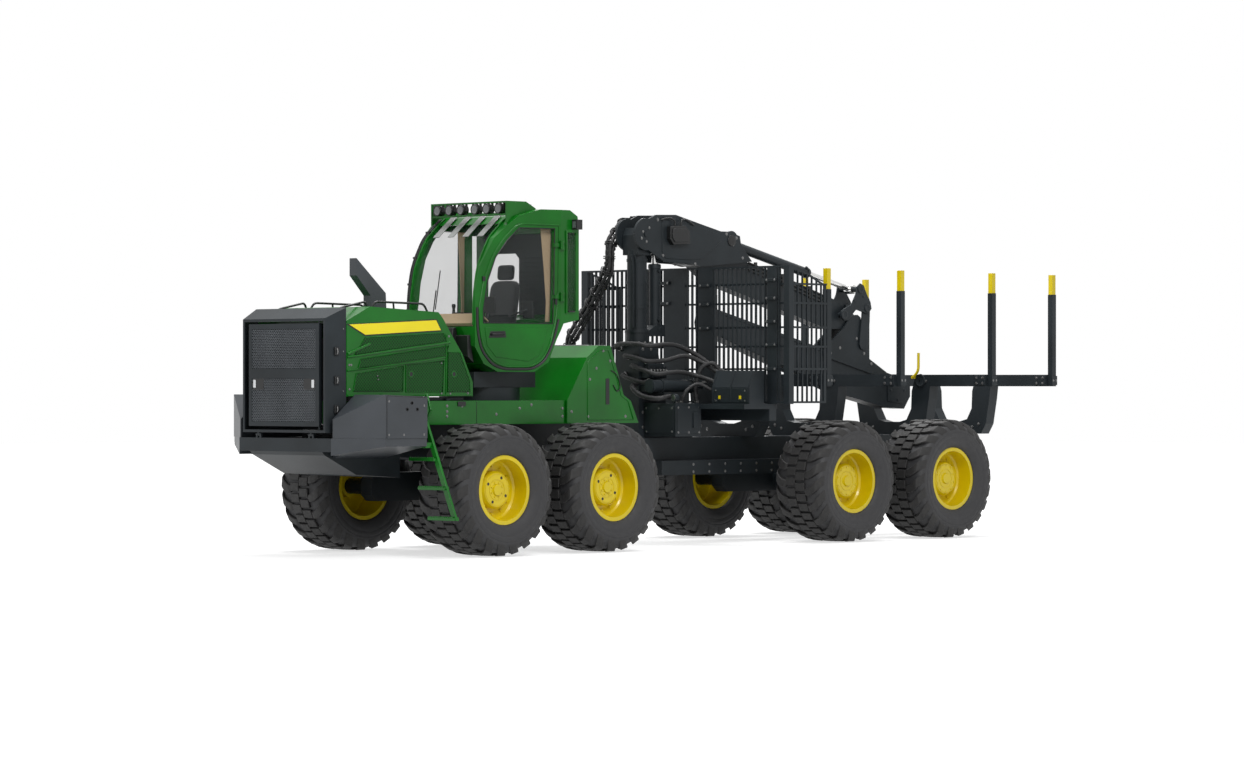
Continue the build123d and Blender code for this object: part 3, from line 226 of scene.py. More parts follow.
def backdrop_rays(tree):
    """1 for rays from the camera, mirrors and glass, 0 for the rays that light the object."""
    rays = tree.nodes.new("ShaderNodeLightPath").outputs
    total = rays["Is Camera Ray"]
    for kind in ("Is Glossy Ray", "Is Transmission Ray"):
        total = maths(tree, "MAXIMUM", total, rays[kind])
    return total


def linear(r, g, b):
    """Linear colour from the usual 0-255 numbers."""
    def one(c):
        c = c / 255
        return c / 12.92 if c <= 0.04045 else ((c + 0.055) / 1.055) ** 2.4
    return (one(r), one(g), one(b), 1.0)


def grey(value):
    return (value, value, value, 1.0)


def shaded(tone, share):
    return tuple(min(1.0, c * share) for c in tone[:3]) + (1.0,)


def base_material(name, roughness, metallic=0.0, coat=0.0):
    mat = bpy.data.materials.new(name)
    mat.use_nodes = True
    tree = mat.node_tree
    shader = feed(tree, tree.nodes["Principled BSDF"], {"Roughness": roughness, "Metallic": metallic,
        "Coat Weight": coat, "Coat Roughness": 0.08})
    return mat, tree, shader


def own_place(tree):
    return tree.nodes.new("ShaderNodeTexCoord").outputs["Object"]


def noise(tree, scale, detail=3.0, roughness=0.5):
    """Cloudy value from 0 to 1, its size given as waves a metre."""
    return add_node(tree, "TexNoise", {"Vector": own_place(tree), "Scale": scale, "Detail": detail,
        "Roughness": roughness}).outputs["Fac"]


def ramp(tree, source, stops):
    """Colour that goes from the first stop to the last as source grows; a stop is (place, colour)."""
    node = add_node(tree, "ValToRGB", {"Fac": source})
    for element, (place, colour) in zip(node.color_ramp.elements, stops):
        element.position, element.color = place, colour
    return node.outputs["Color"]


def bump(tree, shader, height, distance, strength, radius=0.0):
    """Surface relief from height, on edges softened by radius."""
    inputs = {"Strength": strength, "Distance": distance, "Height": height}
    if radius:
        soft = add_node(tree, "Bevel", {"Radius": radius})
        soft.samples = 4
        inputs["Normal"] = soft.outputs["Normal"]
    feed(tree, shader, {"Normal": add_node(tree, "Bump", inputs).outputs["Normal"]})


def paint(name, dark, light, roughness, coat, edge=0.004, relief=0.05, specular=0.35):
    """Sprayed paint: slow change of tone, fine orange peel and softened edges."""
    mat, tree, shader = base_material(name, roughness, 0.0, coat)
    tone = ramp(tree, noise(tree, 1.7, 4.0), [(0.3, dark), (0.7, light)])
    feed(tree, shader, {"Specular IOR Level": specular, "Base Color": tone})
    bump(tree, shader, noise(tree, 900.0, 2.0), 0.001, relief, edge)
    return mat


def perforated(name, base, hole, pitch, radius_share):
    """Painted sheet with rows of small round holes; the holes get painted shade, a dark colour for the shadow
    behind.
    """
    mat, tree, shader = base_material(name, 0.5)
    turned = add_node(tree, "Mapping", {"Vector": own_place(tree), "Rotation": (0.0, math.radians(45), 0.0)})
    cells = add_node(tree, "TexVoronoi", {"Vector": turned.outputs["Vector"], "Randomness": 0.0,
        "Scale": 1.0 / pitch})
    from_middle = cells.outputs["Distance"]
    # Hole colour: painted shade for the dark space behind the sheet.
    tone = ramp(tree, from_middle, [(radius_share, hole), (radius_share + 0.05, base)])
    feed(tree, shader, {"Specular IOR Level": 0.2, "Base Color": tone})
    bump(tree, shader, from_middle, 0.002, 0.4)
    return mat


def rubber(name, tone, scale, relief):
    """Matt rubber with a fine, uneven grain."""
    mat, tree, shader = base_material(name, 0.62)
    grain = noise(tree, scale, 5.0, 0.6)
    feed(tree, shader, {"Base Color": ramp(tree, grain, [(0.3, shaded(tone, 0.75)), (0.75, tone)]),
        "Roughness": ramp(tree, grain, [(0.3, grey(0.55)), (0.7, grey(0.75))])})
    bump(tree, shader, grain, 0.002, relief)
    return mat


def fabric(name, tone, thread):
    """Woven cloth with threads of the given width."""
    mat, tree, shader = base_material(name, 0.9)
    weave = add_node(tree, "TexWave", {"Vector": own_place(tree), "Scale": 1.0 / thread, "Distortion": 1.5,
        "Detail": 1.0})
    shade = ramp(tree, noise(tree, 14.0, 4.0), [(0.3, shaded(tone, 0.7)), (0.8, tone)])
    feed(tree, shader, {"Sheen Weight": 0.4, "Base Color": shade})
    bump(tree, shader, weave.outputs["Fac"], 0.001, 0.35)
    return mat


def plain(name, tone, roughness, metallic=0.0, coat=0.0, scale=60.0):
    """Even finish of metal or plastic with faint marks."""
    mat, tree, shader = base_material(name, roughness, metallic, coat)
    marks = noise(tree, scale, 3.0)
    feed(tree, shader, {"Base Color": ramp(tree, marks, [(0.3, shaded(tone, 0.85)), (0.7, tone)])})
    bump(tree, shader, marks, 0.0006, 0.1, 0.002)
    return mat


def pane(name, tone, alpha):
    """Thin clear glass."""
    mat, tree, shader = base_material(name, 0.03)
    shade = ramp(tree, noise(tree, 3.0, 2.0), [(0.3, tone), (0.7, shaded(tone, 1.06))])
    feed(tree, shader, {"Alpha": alpha, "IOR": 1.45, "Base Color": shade})
    return mat


GREEN = paint("green_paint", linear(3, 84, 10), linear(7, 108, 19), 0.28, 0.18, specular=0.22)
DARK = paint("dark_paint", linear(27, 32, 35), linear(39, 45, 49), 0.46, 0.0, relief=0.12, specular=0.22)
GREY = paint("grey_paint", linear(48, 52, 56), linear(60, 64, 69), 0.42, 0.05, relief=0.12)
BLACK = paint("black_paint", linear(12, 13, 14), linear(20, 21, 22), 0.48, 0.1)
YELLOW = paint("yellow_paint", linear(214, 190, 2), linear(226, 202, 8), 0.32, 0.25, relief=0.01)
STRIPE = paint("yellow_stripe", linear(236, 216, 8), linear(246, 228, 18), 0.3, 0.3, edge=0.0015)
RUBBER = rubber("tread_rubber", linear(26, 25, 25), 34.0, 0.5)
WALL = rubber("wall_rubber", linear(46, 46, 48), 18.0, 0.15)
CHROME = plain("bright_rod", (0.74, 0.74, 0.73, 1.0), 0.18, 1.0, 0.0, 30.0)
STEEL = plain("zinc_steel", grey(0.2), 0.42, 1.0, 0.0, 90.0)
HOSE = rubber("hose_rubber", linear(24, 24, 26), 120.0, 0.4)
GLASS = pane("window_glass", linear(58, 66, 66), 0.12)
SEAT = fabric("seat_fabric", linear(28, 28, 31), 0.004)
PLASTIC = plain("dark_plastic", linear(34, 35, 37), 0.55, 0.0, 0.0, 240.0)
BEIGE = plain("beige_trim", linear(196, 170, 136), 0.6, 0.0, 0.0, 160.0)
LENS = plain("lamp_lens", linear(92, 95, 98), 0.12, 0.0, 0.8, 8.0)
HEAD_LENS = plain("head_lens", linear(232, 234, 236), 0.12, 0.0, 0.8, 8.0)
WIRE = paint("mesh_wire", linear(74, 79, 84), linear(92, 97, 102), 0.38, 0.1)
SLAT = plain("slat_grey", linear(132, 134, 132), 0.4, 0.0, 0.2, 40.0)
# Perforated green sheet: the dark green in its holes is painted shade.
MESH_GREEN = perforated("green_mesh_hole_shade", linear(8, 84, 18), linear(2, 22, 5), 0.028, 0.36)

NODE_FINISH = {node: finish for finish, nodes in (
    (GREEN, "front_frame rear_tank ladder hood cab_shell cab_door lamp_rack"),
    (YELLOW, "stake_tips"),
    (GREY, "side_boxes exhaust_stack"),
    (HOSE, "crane_hoses"),
    (BLACK, "work_lamps engine"),
    (GLASS, "cab_glass door_glass"),
    (PLASTIC, "cab_console"),
    (SEAT, "seat"),
    (CHROME, "lift_rod jib_rod steer_rod_left steer_rod_right"),
) for node in nodes.split()}


def finish_nodes():
    """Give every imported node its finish."""
    for name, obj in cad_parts.items():
        if name.startswith("tyre_"):
            mat = RUBBER
        elif name.startswith("rim_"):
            mat = YELLOW
        else:
            mat = NODE_FINISH.get(name, DARK)
        obj.data.materials.clear()
        obj.data.materials.append(mat)


finish_nodes()


# Tyres

MIDDLE_HALF = 0.15
LUG_END = 0.3735
FLAT_HALF = 0.3
SHOULDER_Y = 0.372


def crown(y):
    """Radius of the tread's top at y across the tyre."""
    y = abs(y)
    if y <= FLAT_HALF:
        return TYRE_R - LUG_TOP_DROP * (y / FLAT_HALF) ** 2
    t = min(1.0, (y - FLAT_HALF) / (SHOULDER_Y - FLAT_HALF))
    return TYRE_R - LUG_TOP_DROP - 0.1 * t ** 1.7


def on_wheel(cx, y, r, turn):
    """Point at radius r and angle turn round the axle of the wheel at cx."""
    return (cx + r * math.cos(turn), y, AXLE_Z + r * math.sin(turn))


def carcass(shape, cx, side):
    """The tyre's body: tread base, shoulders, ringed sidewalls and beads."""
    half = [
        # y, radius
        (0.0, CROWN_R), (0.15, CROWN_R - 0.003), (0.26, CROWN_R - 0.01), (0.315, CROWN_R - 0.028),
        (0.35, 0.668), (0.366, 0.64), (0.372, 0.622), (0.3765, 0.605), (0.3775, 0.59), (0.3745, 0.586),
        (0.377, 0.582), (0.3765, 0.56), (0.3725, 0.528), (0.3695, 0.524), (0.3705, 0.519), (0.362, 0.478),
        (0.345, 0.432), (0.338, 0.424), (0.334, 0.414), (0.322, 0.404), (0.309, 0.3935), (0.2925, 0.3925),
        (0.2925, 0.3705),
    ]
    profile = [(-y, r) for y, r in reversed(half)] + half[1:]
    turns = [2 * math.pi * i / RING_STEPS for i in range(RING_STEPS)]
    rings = [on_wheel(cx, side * TRACK_HALF + y, r, turn) for turn in turns for y, r in profile]
    shape.add(rings, [(a, d, c, b) for a, b, c, d in quads(RING_STEPS, len(profile), True)])


def tread_block(shape, cx, cy, angle, y0, y1, half_w):
    """One brick of the middle band, a little chamfered."""
    rows = [
        # radius, inset
        (CROWN_R - 0.008, 0.0), (TYRE_R - LUG_TOP_DROP, 0.0), (TYRE_R - 0.004, 0.005),
    ]
    v = []
    for r, inset in rows:
        for y, s in ((y0 + inset, -1), (y1 - inset, -1), (y1 - inset, 1), (y0 + inset, 1)):
            v.append(on_wheel(cx, cy + y, r - (TYRE_R - crown(y)), angle + s * (half_w - inset) / TYRE_R))
    faces = [(8, 9, 10, 11)]
    for level in (0, 4):
        for j in range(4):
            faces.append((level + j, level + (j + 1) % 4, level + 4 + (j + 1) % 4, level + 4 + j))
    shape.add(v, faces)


def shoulder_lug(shape, cx, cy, angle, hand):
    """One broad curved lug from the middle band round the shoulder."""
    stations = 9
    sections = []
    for i in range(stations):
        t = i / (stations - 1)
        y = MIDDLE_HALF + (LUG_END - MIDDLE_HALF) * t
        sweep = 0.03 + 0.155 * t ** 2.2
        half_w = 0.04 + 0.03 * t ** 0.8
        top = crown(y) - (LUG_TOP_DROP if i == 0 else 0.0)
        base = min(top - 0.03, CROWN_R - 0.012) if t < 0.8 else top - 0.05
        ring = []
        for s, r, inset in ((-1, base, 0.0), (-1, top - 0.008, 0.0), (-1, top, 0.008), (1, top, 0.008),
                (1, top - 0.008, 0.0), (1, base, 0.0)):
            ring.append(on_wheel(cx, cy + hand * y, r, angle + (sweep + s * (half_w - inset)) / TYRE_R))
        sections.append(ring)
    v = [p for ring in sections for p in ring]
    faces = [tuple(range(6)), tuple(reversed([6 * (stations - 1) + j for j in range(6)]))]
    for i in range(stations - 1):
        for j in range(5):
            a = 6 * i + j
            faces.append((a, a + 6, a + 7, a + 1))
    if hand > 0:
        faces = [tuple(reversed(f)) for f in faces]
    shape.add(v, faces)


def tyre(name, cx, side):
    cy = side * TRACK_HALF
    walls = Shape()
    carcass(walls, cx, side)
    body = walls.piece("tyre_body_" + name, WALL, "wheel_" + name, angle=50)
    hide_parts("tyre_" + name)
    tread = Shape()
    for i in range(BLOCK_ROWS):
        for column, (y0, y1) in enumerate(((-0.148, -0.004), (0.004, 0.148))):
            angle = 2 * math.pi * (i + 0.5 * column) / BLOCK_ROWS
            tread_block(tread, cx, cy, angle, y0, y1, 0.051)
    for i in range(SHOULDER_LUGS):
        for hand in (-1, 1):
            angle = 2 * math.pi * (i + (0.25 if hand > 0 else -0.25)) / SHOULDER_LUGS
            shoulder_lug(tread, cx, cy, angle, hand)
    tread.piece("tyre_tread_" + name, RUBBER, "wheel_" + name, smooth=True, angle=28)


RIM_BOLT_R = 0.272
RIM_FACE = 0.09
HUB_FACE = 0.185


def rim_fittings(name, cx, side):
    """Bolts and rings on the outer face of a wheel, and its holes as black discs of painted shade; front
    wheels have another hub.
    """
    cy = side * TRACK_HALF
    out = (0, side, 0)
    face, hub = cy + side * RIM_FACE, cy + side * HUB_FACE
    steel = Shape()
    for i in range(12):
        steel.bolt(on_wheel(cx, face, RIM_BOLT_R, 2 * math.pi * i / 12), out, 0.016, 0.018)
    front = name[0] == "f"
    ring_r, count, head = (0.085, 8, 0.012) if front else (0.165, 10, 0.009)
    for i in range(count):
        steel.bolt(on_wheel(cx, hub - side * SKIN, ring_r, 2 * math.pi * (i + 0.5) / count), out, head, 0.01)
    steel.piece("wheel_bolts_" + name, YELLOW, "wheel_" + name)
    rings = Shape()
    for r, w in ((0.18, 0.004), (0.118, 0.004), (0.06, 0.006)):
        rings.lathe([(-0.004, r), (0.004, r), (0.005, r - w * 0.4), (0.004, r - w), (-0.004, r - w)],
            (cx, hub, AXLE_Z), out, 48)
    rings.piece("hub_rings_" + name, YELLOW, "wheel_" + name)
    # Holes in the rim as black discs: painted shade where the rim is open.
    dark = Shape()
    holes = 4 if front else 6
    for i in range(holes):
        spot = on_wheel(cx, hub if front else face, 0.15, 2 * math.pi * (i + 0.3) / holes)
        dark.lathe([(-0.002, 0.017), (0.0015, 0.017), (0.002, 0.014)], spot, out, 16)
    dark.piece("hub_hole_shades_" + name, BLACK, "wheel_" + name, "yellow_paint")


for wheel, (wheel_x, wheel_side) in WHEELS.items():
    tyre(wheel, wheel_x, wheel_side)
    rim_fittings(wheel, wheel_x, wheel_side)


# Nose

def plate(shape, outline, side, out):
    """Flat plate on the hood's side, standing out by its thickness."""
    y = side * HOOD_Y
    shape.prism(outline, "y", y - side * SKIN, y + side * out)


STRIPE_LINE = [(5.545, 2.597), (4.248, 2.659), (4.175, 2.547), (5.31, 2.485)]
STRIPE_EDGE = [(5.59, 2.602), (4.238, 2.672), (4.155, 2.535), (5.316, 2.472)]
PANELS = [
    # upper, middle and lower mesh, service door, rear panel
    [(5.303, 2.455), (4.135, 2.518), (4.08, 2.428), (5.47, 2.262)],
    [(5.376, 2.215), (4.061, 2.373), (4.095, 2.262), (5.415, 2.112)],
    [(5.441, 2.056), (4.745, 2.142), (4.752, 1.858), (5.487, 1.859)],
    [(4.705, 2.15), (4.129, 2.205), (4.149, 1.847), (4.705, 1.848)],
    [(4.065, 2.3), (3.88, 2.3), (3.725, 1.965), (3.725, 1.85), (4.075, 1.85)],
]
PANEL_HOLES = ((4.627, 2.05), (3.974, 2.052))
HOOD_LINES = [
    # radius, points
    (0.014, [(5.575, 2.236), (4.033, 2.412)]),
    (0.01, [(5.575, 2.086), (4.718, 2.168), (4.108, 2.243)]),
    (0.007, [(4.088, 2.5), (4.098, 1.806)]),
    (0.008, [(5.57, 1.812), (3.7, 1.812)]),
    (0.016, [(5.57, 2.27), (5.244, 2.385)]),
]


def at_y(y, points):
    return [(x, y, z) for x, z in points]


def hood_side(side, name):
    """Stripe, mesh panels, pressed lines, holes and bolts on one side of the hood; the round holes are filled
    with black discs of painted shade.
    """
    stripe_back = Shape()
    plate(stripe_back, STRIPE_EDGE, side, 0.0025)
    stripe_back.piece("stripe_edge_" + name, BLACK, "hood_lid", bevel=0.0008)
    stripe = Shape()
    plate(stripe, STRIPE_LINE, side, 0.0045)
    stripe.piece("hood_stripe_" + name, STRIPE, "hood_lid", bevel=0.001)
    panels = Shape()
    for outline in PANELS:
        plate(panels, outline, side, 0.003)
    panels.piece("hood_panels_" + name, MESH_GREEN, "hood_lid", bevel=0.001)
    trim = Shape()
    y = side * (HOOD_Y + 0.004)
    for outline in PANELS:
        trim.tube(at_y(y, outline), 0.006, 6, closed=True)
    for r, line in HOOD_LINES:
        trim.tube(at_y(y, line), r, 8)
    for x, z in PANEL_HOLES:
        trim.lathe([(0.0, 0.04), (0.006, 0.038), (0.006, 0.026), (0.0, 0.026)], (x, side * HOOD_Y, z),
            (0, side, 0), 32)
    trim.piece("hood_trim_" + name, GREEN, "hood_lid")
    # Black discs in the round holes: painted shade in the openings. A thin black plate lies along the middle
    # pressed line.
    dark = Shape()
    for x, z in PANEL_HOLES:
        dark.lathe([(0.0, 0.026), (0.004, 0.026)], (x, side * HOOD_Y, z), (0, side, 0), 24)
    plate(dark, [(4.638, 2.172), (4.211, 2.224), (4.211, 2.236), (4.638, 2.184)], side, 0.004)
    dark.piece("hood_hole_shades_and_slot_" + name, BLACK, "hood_lid")
    bolts = Shape()
    for x, z in ((4.165, 2.175), (4.165, 1.835), (5.54, 1.88), (5.13, 2.03), (5.12, 1.99), (5.545, 2.15),
            (5.515, 2.15), (4.03, 1.83), (3.76, 1.835), (4.05, 2.48)):
        bolts.bolt((x, side * (HOOD_Y + SKIN), z), (0, side, 0), 0.009, 0.008)
    bolts.piece("hood_bolts_" + name, STEEL, "hood_lid")


for hand, hand_name in SIDES:
    hood_side(hand, hand_name)


def top_rails():
    """Dark handrails along both edges of the hood's top."""
    rails = Shape()
    for side in (-1, 1):
        y = side * 0.52
        rails.tube(rounded([(5.0, y, 2.77), (4.94, y, 2.862), (4.2, y, 2.848), (4.135, y, 2.745)], 0.05),
            0.013, 10)
        rails.tube([(4.66, y, 2.857), (4.65, y, 2.765)], 0.011, 8)
        rails.tube(rounded([(5.5, y, 2.69), (5.46, y, 2.785), (5.08, y, 2.86), (5.05, y, 2.785)], 0.05),
            0.013, 10)
    rails.piece("hood_rails", BLACK, "hood_lid")


top_rails()


DOOR_WINDOWS = ((2.108, 2.552), (1.518, 2.002))
WINDOW_Y = (-0.552, 0.542)
WIRE_PITCH = 0.036
WIRE_HALF = 0.0045


def front_mesh():
    """Crossed flat wires in the two windows of the front door, over a black sheet of painted shade for the
    dark space behind.
    """
    lattice, back = Shape(), Shape()
    y0, y1 = WINDOW_Y
    for z0, z1 in DOOR_WINDOWS:
        # Black sheet behind the wires: painted shade, not a part of the door.
        back.box(5.7865, 5.7885, y0, y1, z0, z1)
        span = z1 - z0
        count = int((y1 - y0 + span) / WIRE_PITCH)
        for lean in (-1, 1):
            for i in range(count + 1):
                foot = y0 - span + i * WIRE_PITCH if lean > 0 else y0 + i * WIRE_PITCH
                low, high = [foot, z0], [foot + lean * span, z1]
                if max(low[0], high[0]) < y0 or min(low[0], high[0]) > y1:
                    continue
                for end, other in ((low, high), (high, low)):
                    for limit, beyond in ((y0, end[0] < y0), (y1, end[0] > y1)):
                        if beyond:
                            share = (limit - other[0]) / (end[0] - other[0])
                            end[:] = limit, other[1] + (end[1] - other[1]) * share
                if abs(low[0] - high[0]) < 0.004:
                    continue
                across = WIRE_HALF * 1.414
                outline = [(low[0] - across, low[1]), (low[0] + across, low[1]), (high[0] + across, high[1]),
                    (high[0] - across, high[1])]
                lattice.prism(outline, "x", 5.8225 if lean > 0 else 5.823, 5.8275)
    lattice.piece("front_mesh", WIRE, "grille_leaf", smooth=False)
    back.piece("front_mesh_shade_sheet", BLACK, "grille_leaf")


front_mesh()


def front_lamps():
    """Two small headlamps in dark pockets under the ends of the middle bar."""
    pockets, lenses = Shape(), Shape()
    for side in (-1, 1):
        y = side * 0.44 - 0.005
        pockets.prism([(y - 0.11, 1.935), (y - 0.08, 2.002), (y + 0.1, 2.002), (y + 0.1, 1.875),
            (y - 0.08, 1.875)], "x", 5.8, 5.8285)
        lenses.prism([(y + side * 0.085, 1.99), (y + side * 0.035, 1.99), (y + side * 0.035, 1.895),
            (y + side * 0.085, 1.895)], "x", 5.81, 5.8295)
    pockets.piece("lamp_pockets", BLACK, "grille_leaf", bevel=0.002)
    lenses.piece("head_lenses", HEAD_LENS, "grille_leaf", bevel=0.006)


front_lamps()


def facing(axis, sign):
    return {"x": (sign, 0, 0), "y": (0, sign, 0), "z": (0, 0, sign)}[axis]


def bolts_on(shape, axis, place, points, r=0.011, h=0.009, sign=None):
    """Bolt heads on a flat face: points lie in the plane across axis."""
    sign = (1 if place >= 0 else -1) if sign is None else sign
    for u, w in points:
        p = {"x": (place, u, w), "y": (u, place, w), "z": (u, w, place)}[axis]
        shape.bolt(p, facing(axis, sign), r, h)


# Small fittings of the nose and side boxes

def nose_fittings():
    """Latches, slots and bolts on the front door, the cowl and the side boxes; the door's slots are thin
    black patches of painted shade.
    """
    # Slots in the front door as thin black patches: painted shade in the openings.
    slots = Shape()
    for i in range(15):
        y = -0.56 + i * 0.08
        slots.box(5.829, 5.8298, y - 0.026, y + 0.026, 2.028, 2.044)
    slots.box(5.8285, 5.8298, -0.135, -0.055, 2.565, 2.6)
    slots.piece("door_slot_shades", BLACK, "grille_leaf", bevel=0.0002)
    bolts = Shape()
    bolts_on(bolts, "x", 5.8285, [(-0.575, 2.585), (-0.575, 2.49), (0.572, 2.585), (0.572, 2.05),
        (-0.575, 2.05), (-0.575, 1.5), (0.572, 1.5)], 0.007, 0.0012)
    bolts.piece("door_bolts", STEEL, "grille_leaf")
    for side, name in SIDES:
        metal, dark = Shape(), Shape()
        y = side * 0.745
        for z in (1.66, 1.98, 2.3):
            dark.box(5.67, 5.73, y - side * 0.01, y + side * 0.016, z - 0.045, z + 0.045)
            metal.tube([(5.7, y + side * out, z + dz) for out, dz in ((0.018, -0.03), (0.026, 0.0),
                (0.018, 0.03))], 0.006, 8)
        dark.piece("cowl_latches_" + name, BLACK, "hood_lid", bevel=0.004)
        bolts_on(metal, "y", side * 0.757, [(5.61, 2.55), (5.61, 2.3), (5.61, 1.86), (5.61, 1.49)], 0.009,
            0.006)
        metal.piece("cowl_bolts_" + name, STEEL, "hood_lid")
        seams = Shape()
        for line in ([(5.45, 1.345), (5.45, 1.805)], [(4.87, 1.79), (5.44, 1.812)]):
            seams.tube(at_y(side * (BOX_Y + 0.0005), line), 0.004, 6)
        for spot in at_y(side * BOX_Y, [(5.08, 1.73), (5.15, 1.66), (5.0, 1.66)]):
            seams.lathe([(0.0, 0.02), (0.004, 0.019), (0.004, 0.013), (0.0, 0.012)], spot, (0, side, 0), 20)
        seams.piece("box_seams_" + name, BLACK, "front_body")
        studs = Shape()
        bolts_on(studs, "y", side * BOX_Y, [(4.9, 1.38), (5.2, 1.38), (5.42, 1.38), (4.9, 1.7), (5.42, 1.75)],
            0.009, 0.007)
        studs.piece("box_bolts_" + name, STEEL, "front_body")


nose_fittings()


# Platform, tank and ladder

TANK_BOLTS = [(1.822, 1.996), (1.486, 2.212), (1.85, 1.56), (1.231, 1.56), (2.12, 1.619), (1.713, 2.125),
    (1.6, 2.33)]
RAIL_BOLTS = [(4.06, 1.692), (4.06, 1.628), (4.06, 1.575), (3.829, 1.691), (3.294, 1.594), (2.925, 1.661),
    (2.24, 1.658), (2.24, 1.565), (4.6, 1.69), (4.6, 1.55), (2.739, 1.7)]


def platform_fittings():
    """Bolts, slots, seams and handles of the platform and tank, the nose's rest and the ladder's teeth; the
    tank's slot is a black patch of painted shade.
    """
    for side, name in SIDES:
        bolts = Shape()
        bolts_on(bolts, "y", side * TANK_Y, TANK_BOLTS, 0.012, 0.009)
        bolts_on(bolts, "y", side * RAIL_Y, RAIL_BOLTS, 0.012, 0.009)
        bolts.piece("platform_bolts_" + name, STEEL, "front_body")
        dark = Shape()
        # Black patch in the tank's slot: painted shade. The strip, the block and the handle below are black
        # parts.
        dark.box(1.5, 1.562, side * (TANK_Y - SKIN), side * (TANK_Y + 0.0045), 1.7, 2.005)
        dark.box(3.6, 3.606, side * (RAIL_Y - SKIN), side * (RAIL_Y + 0.003), 1.485, 1.745)
        dark.box(3.78, 3.9, side * (RAIL_Y - SKIN), side * (RAIL_Y + 0.012), 1.69, 1.742)
        dark.tube(smooth_path([(1.475, side * 0.795, 2.1), (1.4, side * 0.8, 2.06), (1.345, side * 0.8, 1.98),
            (1.33, side * 0.8, 1.89), (1.385, side * 0.8, 1.86), (1.44, side * 0.795, 1.93)], 6), 0.007, 8)
        dark.piece("tank_slot_shade_" + name, BLACK, "front_body", bevel=0.002)
        green = Shape()
        seam = [(1.86, 1.52), (1.86, 2.2), (1.66, 2.34), (1.52, 2.34), (1.42, 2.11), (1.3, 1.8), (1.19, 1.74),
            (1.1, 1.52)]
        green.tube(at_y(side * (TANK_Y + 0.002), seam), 0.006, 6, closed=True)
        green.piece("tank_seam_" + name, GREEN, "front_body")
    rest = Shape()
    rest.box(3.75, 4.7, -0.7, 0.7, 1.7505, 1.79)
    for x in (4.02, 4.36, 4.62):
        rest.box(x - 0.03, x + 0.03, -0.74, 0.74, 1.7505, 1.775)
    rest.piece("hood_rest", DARK, "front_body", bevel=0.004)
    top = Shape()
    top.box(1.505, 1.66, -0.74, 0.74, 2.3895, 2.396)
    top.box(1.545, 1.62, -0.5, 0.5, 2.395, 2.402)
    top.piece("tank_top", SLAT, "front_body", "green_paint", bevel=0.003)
    teeth = Shape()
    for y_out, z in ((1.17, 1.44), (1.34, 1.115), (1.49, 0.795), (1.65, 0.46)):
        for i in range(13):
            y = y_out - 0.395 + i * 0.0315
            for x0, x1 in ((4.7, 4.712), (4.783, 4.795)):
                teeth.prism([(y - 0.011, z - 0.001), (y + 0.011, z - 0.001), (y + 0.006, z + 0.012),
                    (y - 0.006, z + 0.012)], "x", x0, x1)
    teeth.piece("step_teeth", GREEN, "front_body", smooth=False)


platform_fittings()


# Cab

def side_wall(x):
    """Half width of the cab's side wall at x: it narrows from back to front."""
    return 0.84 - (x - 2.34) * 0.28 / 1.1


# Direction straight out of that wall
WALL_X, WALL_Y = 0.2466, 0.9691


def on_wall(shape, side=1):
    """Turn a shape drawn with Y as the distance out of the cab's slanted side into place."""
    shape.verts = [(x + WALL_X * y, side * (side_wall(x) + WALL_Y * y), z) for x, y, z in shape.verts]
    if side < 0:
        shape.faces = [tuple(reversed(f)) for f in shape.faces]
    return shape


DOOR_EDGE = [(2.89, 3.79), (3.06, 3.64), (3.22, 3.42), (3.33, 3.13), (3.39, 2.8), (3.38, 2.56), (3.33, 2.34),
    (3.2, 2.19), (3.06, 2.14), (2.72, 2.14), (2.58, 2.22), (2.48, 2.4), (2.4, 2.7), (2.38, 3.0)]
PANE_EDGE = [(2.878, 3.74), (3.03, 3.6), (3.182, 3.395), (3.284, 3.115), (3.335, 2.8), (3.335, 2.64),
    (2.45, 2.64), (2.435, 3.0), (2.425, 3.74)]
SILL = [(3.415, 2.82), (3.412, 2.56), (3.36, 2.325), (3.225, 2.165), (3.075, 2.112), (2.712, 2.112),
    (2.558, 2.2), (2.452, 2.39), (2.372, 2.69)]


